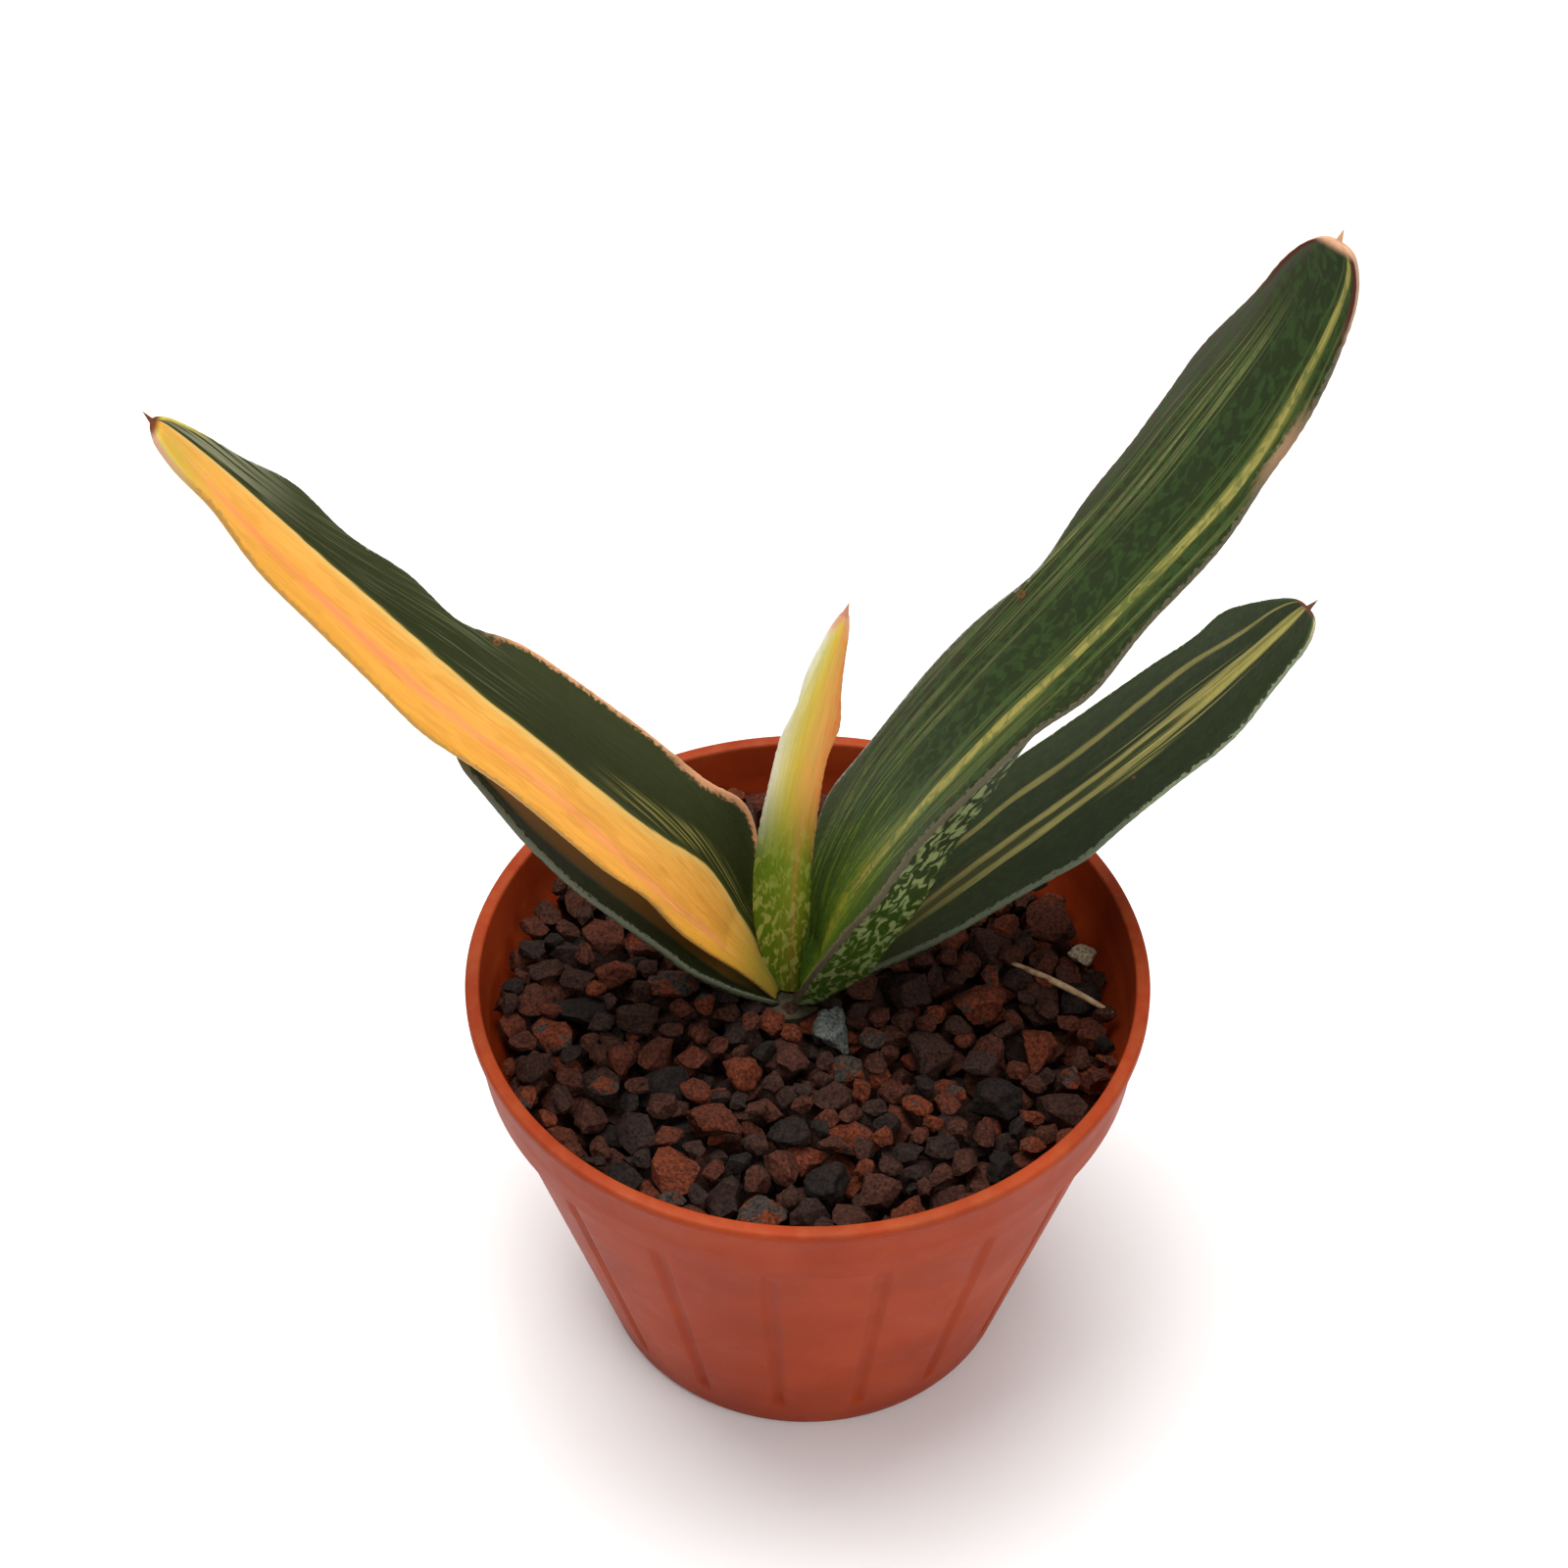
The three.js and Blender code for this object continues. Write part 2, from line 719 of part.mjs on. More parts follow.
const stones = []
for (const [name, numbers] of Object.entries(placedStones)) {
  stones.push({ name, ...placedStone(stones.length + 1, numbers) })
}
for (const [index, stone] of looseStones(stones).entries()) {
  stones.push({ name: `lava_stone_${String(index + 1).padStart(2, '0')}`, ...stone })
}
const stoneLooks = { crown_pebble: greyStone, pale_pebble: paleStone }
for (const stone of stones) {
  addPiece(stone.name, cutAll(stoneSolid(stone, 0), leafCutters), stoneLooks[stone.name] ?? lavaStone)
}
addPiece('dry_needle', needleSolid(0), dryNeedle)

const bedCutters = [
  ...leafCutters,
  stemBlank(touchGap),
  roots(touchGap),
  ...stones.map((stone) => stoneSolid(stone, touchGap)),
  needleSolid(touchGap),
]
addPiece('grit_bed', cutAll(bedBlank(), bedCutters), lavaGrit)

export default group
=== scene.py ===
# %% [markdown]
# # A potted gasteria
# A small gasteria is a succulent with thick tongue-shaped leaves in two opposite
# ranks. It grows in a nursery pot filled with lava grit. This lesson builds the pot
# by spinning a profile, heaps the grit stone by stone, and shapes each leaf from a
# flat grid that is bent along a curve.

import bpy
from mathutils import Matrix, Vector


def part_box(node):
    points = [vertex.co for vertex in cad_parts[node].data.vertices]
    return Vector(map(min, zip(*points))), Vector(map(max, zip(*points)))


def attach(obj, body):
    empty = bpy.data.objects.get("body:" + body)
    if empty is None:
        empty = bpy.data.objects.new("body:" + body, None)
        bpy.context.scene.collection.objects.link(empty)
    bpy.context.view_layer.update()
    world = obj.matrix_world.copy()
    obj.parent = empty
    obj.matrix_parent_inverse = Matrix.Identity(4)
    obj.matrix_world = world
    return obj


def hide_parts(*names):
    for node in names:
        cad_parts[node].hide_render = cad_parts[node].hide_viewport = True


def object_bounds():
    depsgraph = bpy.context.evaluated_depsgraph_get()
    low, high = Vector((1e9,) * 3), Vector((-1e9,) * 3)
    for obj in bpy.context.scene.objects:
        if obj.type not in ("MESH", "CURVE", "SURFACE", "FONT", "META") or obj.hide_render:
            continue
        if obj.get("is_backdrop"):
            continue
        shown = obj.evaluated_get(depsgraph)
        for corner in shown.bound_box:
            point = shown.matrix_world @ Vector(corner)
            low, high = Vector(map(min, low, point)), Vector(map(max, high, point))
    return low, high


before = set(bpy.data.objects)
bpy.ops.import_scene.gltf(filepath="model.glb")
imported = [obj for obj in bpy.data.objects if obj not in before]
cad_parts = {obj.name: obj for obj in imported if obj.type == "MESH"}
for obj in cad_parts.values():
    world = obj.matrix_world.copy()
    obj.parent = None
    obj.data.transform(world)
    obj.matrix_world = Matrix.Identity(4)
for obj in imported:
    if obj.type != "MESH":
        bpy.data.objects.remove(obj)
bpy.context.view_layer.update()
print("frame nodes:", len(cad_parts))

# %% The other tools of this lesson
import math
import random

import bmesh
import bpy
import numpy as np
from mathutils import Matrix, Vector, noise

MM = 0.001
BODY = "root"

# %% [markdown]
# ## The camera
# The camera looks down at the pot from the front, from about arm's length. It is
# aimed a little above and behind the rim, so that the tall leaves fit in the view.

# %% Make the camera
CAMERA_PLACE = Vector((0.0, -273.2, 350.7)) * MM
CAMERA_AIM = Vector((-3.1, 16.1, 74.45)) * MM
CAMERA_LENS = 73.8

camera_data = bpy.data.cameras.new("camera")
camera_data.lens = CAMERA_LENS
camera_data.sensor_width = 36.0
camera_data.clip_start = 0.01
camera = bpy.data.objects.new("camera", camera_data)
camera.location = CAMERA_PLACE
camera.rotation_euler = (CAMERA_AIM - CAMERA_PLACE).to_track_quat("-Z", "Y").to_euler()
bpy.context.collection.objects.link(camera)
bpy.context.scene.camera = camera
print("camera to aim, mm:", round((CAMERA_AIM - CAMERA_PLACE).length / MM))

# %% [markdown]
# ## Small helpers
# Five helpers serve every piece: one turns a finished bmesh into an object that
# rides on the frame, one turns a hex colour linear, one adds a node, one fills a
# colour ramp, and one starts a material. Node settings that come up again and again
# have names of their own.


# %% Turn a bmesh into a piece of the object
def finish_piece(name, bm, material, replaces=(), smooth=True):
    """Writes the mesh, gives it its material and ties it to the frame."""
    mesh = bpy.data.meshes.new(name)
    bm.to_mesh(mesh)
    bm.free()
    mesh.materials.append(material)
    for face in mesh.polygons:
        face.use_smooth = smooth
    piece = bpy.data.objects.new(name, mesh)
    bpy.context.collection.objects.link(piece)
    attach(piece, BODY)
    if replaces:
        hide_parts(*replaces)
    print(name, "faces:", len(mesh.polygons))
    return piece


# %% Colours and nodes
SMOOTH = {"interpolation_type": "SMOOTHSTEP"}
COLOURS = {"data_type": "RGBA"}
PLUS = {"operation": "ADD"}
TIMES = {"operation": "MULTIPLY"}


def linear(hex_colour):
    """An sRGB hex colour as linear red, green, blue and alpha."""
    channels = [int(hex_colour[i:i + 2], 16) / 255 for i in (1, 3, 5)]
    return tuple(c / 12.92 if c <= 0.04045 else ((c + 0.055) / 1.055) ** 2.4
                 for c in channels) + (1.0,)


def add(tree, kind, settings=None, **inputs):
    """Adds a node. An input is named, or _0, _1 … by its place, and takes a value or a link."""
    node = tree.nodes.new("ShaderNode" + kind)
    for key, value in (settings or {}).items():
        setattr(node, key, value)
    for key, value in inputs.items():
        place = int(key[1:]) if key.startswith("_") else key.replace("_", " ")
        socket = node.inputs[place]
        if isinstance(value, bpy.types.NodeSocket):
            tree.links.new(value, socket)
        else:
            socket.default_value = value
    return node


def fill_ramp(ramp_node, stops, interpolation="LINEAR"):
    """Gives a colour ramp its stops: (place, hex colour) from left to right."""
    ramp = ramp_node.color_ramp
    ramp.interpolation = interpolation
    while len(ramp.elements) < len(stops):
        ramp.elements.new(0.5)
    for element, (place, colour) in zip(ramp.elements, sorted(stops)):
        element.position = place
        element.color = linear(colour)
    return ramp_node.outputs["Color"]


def new_material(name):
    """An empty node material, its node tree and its shader."""
    material = bpy.data.materials.new(name)
    material.use_nodes = True
    tree = material.node_tree
    tree.nodes.clear()
    shader = add(tree, "BsdfPrincipled")
    add(tree, "OutputMaterial", Surface=shader.outputs[0])
    return material, tree, shader


# %% [markdown]
# ## The floor and the light
# A pale floor and a white surround stand for a studio's paper sweep. One large soft
# lamp above and a little behind lights the leaves, and a smaller and weaker one at
# the right fills the front.

# %% Floor, surround and lamps
FLOOR_REACH = 6.0
SURROUND_STRENGTH = 0.34


def lay_floor():
    """A wide pale plane under the pot; its reach is in metres."""
    bm = bmesh.new()
    bmesh.ops.create_grid(bm, x_segments=1, y_segments=1, size=FLOOR_REACH)
    mesh = bpy.data.meshes.new("floor")
    bm.to_mesh(mesh)
    bm.free()
    material, tree, shader = new_material("matt_white_paper_sweep")
    place = add(tree, "TexCoord").outputs["Object"]
    grain = add(tree, "TexNoise", Vector=place, Scale=1 / (25 * MM))
    colour = fill_ramp(add(tree, "ValToRGB", _0=grain.outputs["Fac"]),
                       [(0.3, "#fbfbfa"), (0.7, "#fdfdfc")])
    tree.links.new(colour, shader.inputs["Base Color"])
    shader.inputs["Roughness"].default_value = 0.9
    mesh.materials.append(material)
    floor = bpy.data.objects.new("floor", mesh)
    bpy.context.collection.objects.link(floor)
    floor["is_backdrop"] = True


def hang_lamp(name, place, aim, size, watts, colour="#ffffff"):
    """A square soft lamp, aimed at a point."""
    data = bpy.data.lights.new(name, "AREA")
    data.size = size
    data.energy = watts
    data.color = linear(colour)[:3]
    lamp = bpy.data.objects.new(name, data)
    lamp.location = place
    lamp.rotation_euler = (Vector(aim) - Vector(place)).to_track_quat("-Z", "Y").to_euler()
    bpy.context.collection.objects.link(lamp)


lay_floor()
world = bpy.data.worlds.new("white_surround")
bpy.context.scene.world = world
world.use_nodes = True
surround = world.node_tree.nodes["Background"]
surround.inputs["Color"].default_value = linear("#ffffff")
surround.inputs["Strength"].default_value = SURROUND_STRENGTH
hang_lamp("lamp_over", (-0.1, 0.15, 1.0), (0, 0, 0.08), 0.8, 13.0)
hang_lamp("lamp_front", (0.45, -0.6, 0.6), (0, 0, 0.06), 0.5, 2.8)
bpy.context.scene.view_settings.view_transform = "Standard"

# %% [markdown]
# ## The nursery pot
# The real pot is moulded polypropylene. It is round, so its wall is a profile spun
# about the axis. The eighteen grooves that stiffen it could be cut with booleans,
# but it is cleaner to push in the few columns of points that each groove covers.
# The profile has a pair of points at each edge, so that every edge is a little
# rounded, as a moulded one is. The drain holes are left out of this model, because
# the pot stands on its base.

# %% The pot's sizes, in millimetres
POT_HEIGHT = 58.5
RIM_RADIUS = 42.5
BASE_RADIUS = 27.0
WALL = 1.3
LIP_OVERHANG = 0.5
LIP_HEIGHT = 1.6
COLLAR_HEIGHT = 8.3
COLLAR_TAPER = 0.9
COLLAR_STEP = 0.9
FOOT_WIDTH = 1.8
FOOT_HEIGHT = 1.6
FLOOR_THICKNESS = 1.4
PAD_RADIUS = 6.5
FLOOR_RING = 22.0
GROOVE_COUNT = 18
GROOVE_DEPTH = 0.5
GROOVE_TURN = -6.5
GROOVE_LOW = 6.5
GROOVE_HALF_COLUMNS = 1.4
COLUMNS_PER_GROOVE = 24

collar_radius = RIM_RADIUS - LIP_OVERHANG
collar_foot = POT_HEIGHT - LIP_HEIGHT - COLLAR_HEIGHT
body_top = collar_radius - COLLAR_TAPER - COLLAR_STEP
body_slope = (body_top - BASE_RADIUS) / collar_foot
groove_high = collar_foot - 1.5


def body_radius(z):
    """The outer radius of the pot's body at a height."""
    return BASE_RADIUS + body_slope * z


# %% Spin the profile and press in the grooves
def pot_profile():
    """Radius and height of each point, up the outside and down the inside."""
    floor_top = FOOT_HEIGHT + FLOOR_THICKNESS
    outside = [(0, 0), (PAD_RADIUS - 0.3, 0), (PAD_RADIUS, 0.3), (PAD_RADIUS, FOOT_HEIGHT)]
    foot = BASE_RADIUS - FOOT_WIDTH
    outside += [(foot, FOOT_HEIGHT), (foot, 0.25), (foot + 0.25, 0)]
    outside += [(BASE_RADIUS - 0.7, 0), (BASE_RADIUS - 0.1, 0.25), (body_radius(0.9), 0.9)]
    heights = [2.5, 4.5, GROOVE_LOW - 0.5, GROOVE_LOW, GROOVE_LOW + 0.7]
    heights += list(np.linspace(GROOVE_LOW + 4, groove_high - 4, 9))
    heights += [groove_high - 0.7, groove_high, groove_high + 0.5, collar_foot - 0.3]
    outside += [(body_radius(z), z) for z in heights]
    skirt = body_top + COLLAR_STEP
    outside += [(body_top + 0.15, collar_foot), (skirt - 0.3, collar_foot)]
    outside += [(skirt, collar_foot + 0.3), (skirt + 0.45, collar_foot + 4.1)]
    lip = POT_HEIGHT - LIP_HEIGHT
    outside += [(collar_radius - 0.05, lip - 0.25), (collar_radius + 0.1, lip)]
    outside += [(RIM_RADIUS - 0.15, lip + 0.1), (RIM_RADIUS, lip + 0.4)]
    outside += [(RIM_RADIUS, POT_HEIGHT - 0.4), (RIM_RADIUS - 0.12, POT_HEIGHT - 0.1)]
    outside += [(RIM_RADIUS - 0.4, POT_HEIGHT)]
    inner_lip = collar_radius - WALL
    inside = [(inner_lip + 0.3, POT_HEIGHT), (inner_lip + 0.08, POT_HEIGHT - 0.1)]
    inside += [(inner_lip, POT_HEIGHT - 0.4), (inner_lip - 0.4, POT_HEIGHT - 5)]
    inside += [(skirt - WALL, collar_foot)]
    inner_top = collar_foot - COLLAR_STEP
    inside += [(body_radius(z) - WALL, z) for z in (inner_top, 38, 28, 18, 8)]
    inside += [(body_radius(floor_top) - WALL, floor_top + 0.3)]
    inside += [(body_radius(floor_top) - WALL - 0.3, floor_top)]
    inside += [(FLOOR_RING, floor_top), (0, floor_top)]
    return outside + inside


def spun(profile, steps):
    """A closed shell: the profile spun once round the Z axis."""
    bm = bmesh.new()
    points = [bm.verts.new((r * MM, 0, z * MM)) for r, z in profile]
    edges = [bm.edges.new(pair) for pair in zip(points, points[1:])]
    bmesh.ops.spin(bm, geom=points + edges, cent=(0, 0, 0), axis=(0, 0, 1),
                   angle=2 * math.pi, steps=steps, use_merge=True)
    bmesh.ops.remove_doubles(bm, verts=bm.verts, dist=1e-6)
    bmesh.ops.recalc_face_normals(bm, faces=bm.faces)
    return bm


def press_grooves(bm):
    """Moves the points of each groove towards the axis."""
    pitch = 2 * math.pi / GROOVE_COUNT
    column = pitch / COLUMNS_PER_GROOVE
    for point in bm.verts:
        radius = math.hypot(point.co.x, point.co.y)
        height = point.co.z / MM
        on_body = radius / MM > body_radius(height) - 0.2
        if not on_body or not GROOVE_LOW - 0.1 <= height <= groove_high + 0.1:
            continue
        turn = math.atan2(point.co.y, point.co.x)
        off = (turn - math.radians(GROOVE_TURN - 90) + pitch / 2) % pitch - pitch / 2
        if abs(off) > GROOVE_HALF_COLUMNS * column:
            continue
        ends = min(height - GROOVE_LOW, groove_high - height)
        depth = GROOVE_DEPTH * min(1.0, 0.4 + ends)
        point.co.xy *= (radius - depth * MM) / radius


pot_bm = spun(pot_profile(), GROOVE_COUNT * COLUMNS_PER_GROOVE)
bmesh.ops.rotate(pot_bm, verts=pot_bm.verts, cent=(0, 0, 0),
                 matrix=Matrix.Rotation(math.radians(GROOVE_TURN - 90), 3, "Z"))
press_grooves(pot_bm)
print("pot points:", len(pot_bm.verts))

# %% [markdown]
# The plastic is polypropylene with a terracotta pigment. It comes out of the mould
# satin, with a faint cloudiness in its colour. Handling leaves dust smudges. The lip's
# top face gets a paler orange in noisy patches: partly a line of hard-water lime,
# partly a painted highlight where the light falls on it.


# %% Moulded polypropylene
def moulded_polypropylene():
    """Satin terracotta plastic with dust smudges, and lime and a painted highlight on the lip's
    top.
    """
    material, tree, shader = new_material("moulded_polypropylene_terracotta")
    place = add(tree, "TexCoord").outputs["Object"]
    cloud = add(tree, "TexNoise", Vector=place, Scale=1 / (14 * MM), Detail=4.0, Roughness=0.6)
    pigment = fill_ramp(add(tree, "ValToRGB", _0=cloud.outputs["Fac"]),
                        [(0.3, "#8a2e10"), (0.5, "#943312"), (0.72, "#9f3c18")])
    smudge = add(tree, "TexNoise", Vector=place, Scale=1 / (9 * MM), Detail=8.0,
                 Roughness=0.72, Distortion=0.6)
    dusty = add(tree, "MapRange", SMOOTH, Value=smudge.outputs["Fac"], From_Min=0.5,
                From_Max=0.78, To_Min=0.0, To_Max=0.22)
    dusted = add(tree, "Mix", COLOURS, _0=dusty.outputs[0], _6=pigment,
                 _7=linear("#a95a38"))
    speck = add(tree, "TexVoronoi", Vector=place, Scale=1 / (3.2 * MM))
    specky = add(tree, "MapRange", Value=speck.outputs["Distance"], From_Min=0.05,
                 From_Max=0.09, To_Min=0.55, To_Max=0.0)
    chosen = add(tree, "Math", TIMES, _0=specky.outputs[0], _1=dusty.outputs[0])
    specked = add(tree, "Mix", COLOURS, _0=chosen.outputs[0], _6=dusted.outputs[2],
                  _7=linear("#d9c6b0"))
    height = add(tree, "SeparateXYZ", _0=place).outputs["Z"]
    # Painted highlight, partly lime: a paler orange in noisy patches on the lip's top face.
    lip = add(tree, "MapRange", SMOOTH, Value=height, From_Min=(POT_HEIGHT - 0.9) * MM,
              From_Max=(POT_HEIGHT - 0.1) * MM, To_Min=0.0, To_Max=1.0)
    highlight_and_lime_noise = add(tree, "TexNoise", Vector=place, Scale=1 / (2.5 * MM), Detail=3.0)
    lip_highlight_and_lime_strength = add(tree, "MapRange", Value=highlight_and_lime_noise.outputs["Fac"], From_Min=0.4,
               From_Max=0.7, To_Min=0.03, To_Max=0.2)
    lip_highlight_and_lime = add(tree, "Math", TIMES, _0=lip.outputs[0], _1=lip_highlight_and_lime_strength.outputs[0])
    colour = add(tree, "Mix", COLOURS, _0=lip_highlight_and_lime.outputs[0], _6=specked.outputs[2],
                 _7=linear("#b0693f"))
    tree.links.new(colour.outputs[2], shader.inputs["Base Color"])
    satin = add(tree, "MapRange", Value=smudge.outputs["Fac"], From_Min=0.3, From_Max=0.8,
                To_Min=0.42, To_Max=0.62)
    tree.links.new(satin.outputs[0], shader.inputs["Roughness"])
    grain = add(tree, "TexNoise", Vector=place, Scale=1 / (0.7 * MM), Detail=4.0)
    bump = add(tree, "Bump", Height=grain.outputs["Fac"], Strength=0.25, Distance=0.12 * MM)
    tree.links.new(bump.outputs[0], shader.inputs["Normal"])
    shader.inputs["IOR"].default_value = 1.49
    shader.inputs["Specular IOR Level"].default_value = 0.1
    return material


finish_piece("nursery_pot", pot_bm, moulded_polypropylene(), ["pot"])

# %% [markdown]
# ## Stones
# Lava is crushed, so its stones have flat broken faces, and it is full of gas
# bubbles, so those faces are rough. A stone starts as an icosphere. Planes at random
# angles flatten it where they cut, and noise roughens what is left.


# %% One lava stone
CUT_REACH = (0.45, 0.78)
LUMPS_PER_RADIUS = 2.2


def stone_mesh(bm, rng, fineness, cuts, roughness):
    """Adds a stone of about unit size to a bmesh and gives its points."""
    made = bmesh.ops.create_icosphere(bm, subdivisions=fineness, radius=1.0)["verts"]
    planes = []
    for _ in range(cuts):
        way = Vector((rng.gauss(0, 1), rng.gauss(0, 1), rng.gauss(0, 1))).normalized()
        planes.append((way, rng.uniform(*CUT_REACH)))
    shift = Vector((rng.uniform(0, 90), rng.uniform(0, 90), rng.uniform(0, 90)))
    for point in made:
        for way, reach in planes:
            beyond = point.co.dot(way) - reach
            if beyond > 0:
                point.co -= way * beyond
        bumpy = noise.fractal(point.co * LUMPS_PER_RADIUS + shift, 0.9, 2.1, 4)
        point.co *= 1 + roughness * bumpy
    return made


def fit_stone(points, low, high):
    """Stretches a stone to fill the box between two corners."""
    coordinates = np.array([point.co for point in points])
    near, far = coordinates.min(0), coordinates.max(0)
    scale = (np.array(high) - np.array(low)) / (far - near)
    for point, place in zip(points, (coordinates - near) * scale + np.array(low)):
        point.co = place


# %% [markdown]
# The stones differ: most are red-brown, some orange where the iron has rusted, some
# purple-grey. Each stone carries one number, its tint, as a point attribute, and a
# colour ramp turns it into one of those colours. Noise a few millimetres wide shifts
# the colour inside a stone, and noise under a millimetre makes the pores: it bumps the
# surface, and it also paints shade into the pores' hollows and light onto their rims.
# The two pebbles are other rocks, so they get the same finish with colours of their own.


# %% Crushed lava
def crushed_lava(name, stops, pores=0.5):
    """Rough porous rock whose colour follows the stone's tint, with painted shade in the pores.
    """
    material, tree, shader = new_material(name)
    place = add(tree, "TexCoord").outputs["Object"]
    tint = add(tree, "Attribute", {"attribute_name": "tint"}).outputs["Fac"]
    cloud = add(tree, "TexNoise", Vector=place, Scale=1 / (2.6 * MM), Detail=6.0,
                Roughness=0.65)
    shift = add(tree, "MapRange", Value=cloud.outputs["Fac"], From_Min=0.3, From_Max=0.7,
                To_Min=-0.1, To_Max=0.1)
    mixed = add(tree, "Math", {**PLUS, "use_clamp": True}, _0=tint, _1=shift.outputs[0])
    rock = fill_ramp(add(tree, "ValToRGB", _0=mixed.outputs[0]), stops)
    pore = add(tree, "TexNoise", Vector=place, Scale=1 / (0.45 * MM), Detail=5.0,
               Roughness=0.7)
    # Painted shade and light: the pores' hollows are darkened and their rims lightened in the
    # colour.
    shade = add(tree, "MapRange", Value=pore.outputs["Fac"], From_Min=0.36, From_Max=0.62,
                To_Min=0.25, To_Max=1.3)
    colour = add(tree, "VectorMath", {"operation": "SCALE"}, _0=rock, Scale=shade.outputs[0])
    tree.links.new(colour.outputs[0], shader.inputs["Base Color"])
    shader.inputs["Roughness"].default_value = 0.85
    shader.inputs["Specular IOR Level"].default_value = 0.15
    bump = add(tree, "Bump", Height=pore.outputs["Fac"], Strength=pores, Distance=0.5 * MM)
    tree.links.new(bump.outputs[0], shader.inputs["Normal"])
    return material


LAVA_STOPS = [(0.0, "#1f1916"), (0.14, "#2e201b"), (0.36, "#39231b"), (0.6, "#45261b"),
              (0.82, "#52281a"), (0.96, "#693019"), (1.0, "#3a332e")]
lava = crushed_lava("crushed_red_lava", LAVA_STOPS)
grey_pebble = crushed_lava("weathered_basalt", [(0.0, "#2f3130"), (1.0, "#5a5d59")], 0.3)
pale_pebble = crushed_lava("tan_limestone", [(0.0, "#6d5f4d"), (1.0, "#a8977c")], 0.35)


# %% The larger stones, each in its own place
def big_stone(node):
    """A detailed stone that fills its node's box."""
    rng = random.Random(node)
    bm = bmesh.new()
    low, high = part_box(node)
    tint = bm.verts.layers.float.new("tint")
    points = stone_mesh(bm, rng, fineness=4, cuts=8, roughness=0.16)
    own = rng.random()
    for point in points:
        point[tint] = own
    fit_stone(points, low, high)
    return bm


stone_nodes = sorted(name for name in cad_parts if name.startswith("lava_stone"))
for node in stone_nodes:
    finish_piece("rock_" + node[-2:], big_stone(node), lava, [node])
finish_piece("grey_pebble", big_stone("crown_pebble"), grey_pebble,
             ["crown_pebble"])
finish_piece("tan_pebble", big_stone("pale_pebble"), pale_pebble,
             ["pale_pebble"])

# %% [markdown]
# ## The heap of grit
# Grit that is poured settles: each stone rolls to a low spot and rests on the ones
# under it. A rigid-body run could do that, but a height map gives the same heap in
# seconds. The map holds the top of the heap. Each new stone tries some random
# places, takes the lowest, and then raises the map under it. A heap of hundreds of
# loose stones needs only a few dozen shapes, each turned and stretched anew.

# %% Sizes of the heap, in millimetres
CELL = 0.5
HEAP_HALF = 42
HEAP_BASE = 44.5
BED_MIDDLE = 50.3
BED_TILT = 1.8
BED_HIGH_SIDE = math.radians(130)
GRIT_TOP = 2.3
GRIT_SIZES = (3.2, 4.0, 4.8, 5.6, 6.4, 7.2)
STONE_SEAT = 0.8
STONE_TOP = 0.9
TRIES = 14
MOST_MISSES = 260
MOST_STONES = 1500
SHAPES = 28
WALL_GAP = 0.2
WALL_TOUCH = 0.5
WALL_TOP = 50.0
PLANT = Vector((-2.6, 4.0, 50.0))
CROWN_RADIUS = 4.0
CROWN_LEVEL = 50.5


def bed_level(x, y):
    """How high the bed's middle surface is, in mm; it is heaped to the back left."""
    uphill = x * math.cos(BED_HIGH_SIDE) + y * math.sin(BED_HIGH_SIDE)
    return BED_MIDDLE + BED_TILT * uphill / RIM_RADIUS


def bed_reach(z):
    """The radius of the pot's inside at a height, in mm."""
    return body_radius(min(z, WALL_TOP)) - WALL - WALL_GAP


def highest_seat(x, y, a, c, kept_places):
    """How high a stone's middle may lie: under the bed's top, placed pieces and crown."""
    limit = bed_level(x, y) + GRIT_TOP - c * STONE_SEAT
    for px, py, reach, bottom in kept_places:
        if math.hypot(px - x, py - y) < reach + 0.75 * a:
            limit = min(limit, bottom + 1.0 - STONE_SEAT * c)
    if math.hypot(x - PLANT.x, y - PLANT.y) < CROWN_RADIUS + a:
        limit = min(limit, CROWN_LEVEL - STONE_SEAT * c)
    return limit


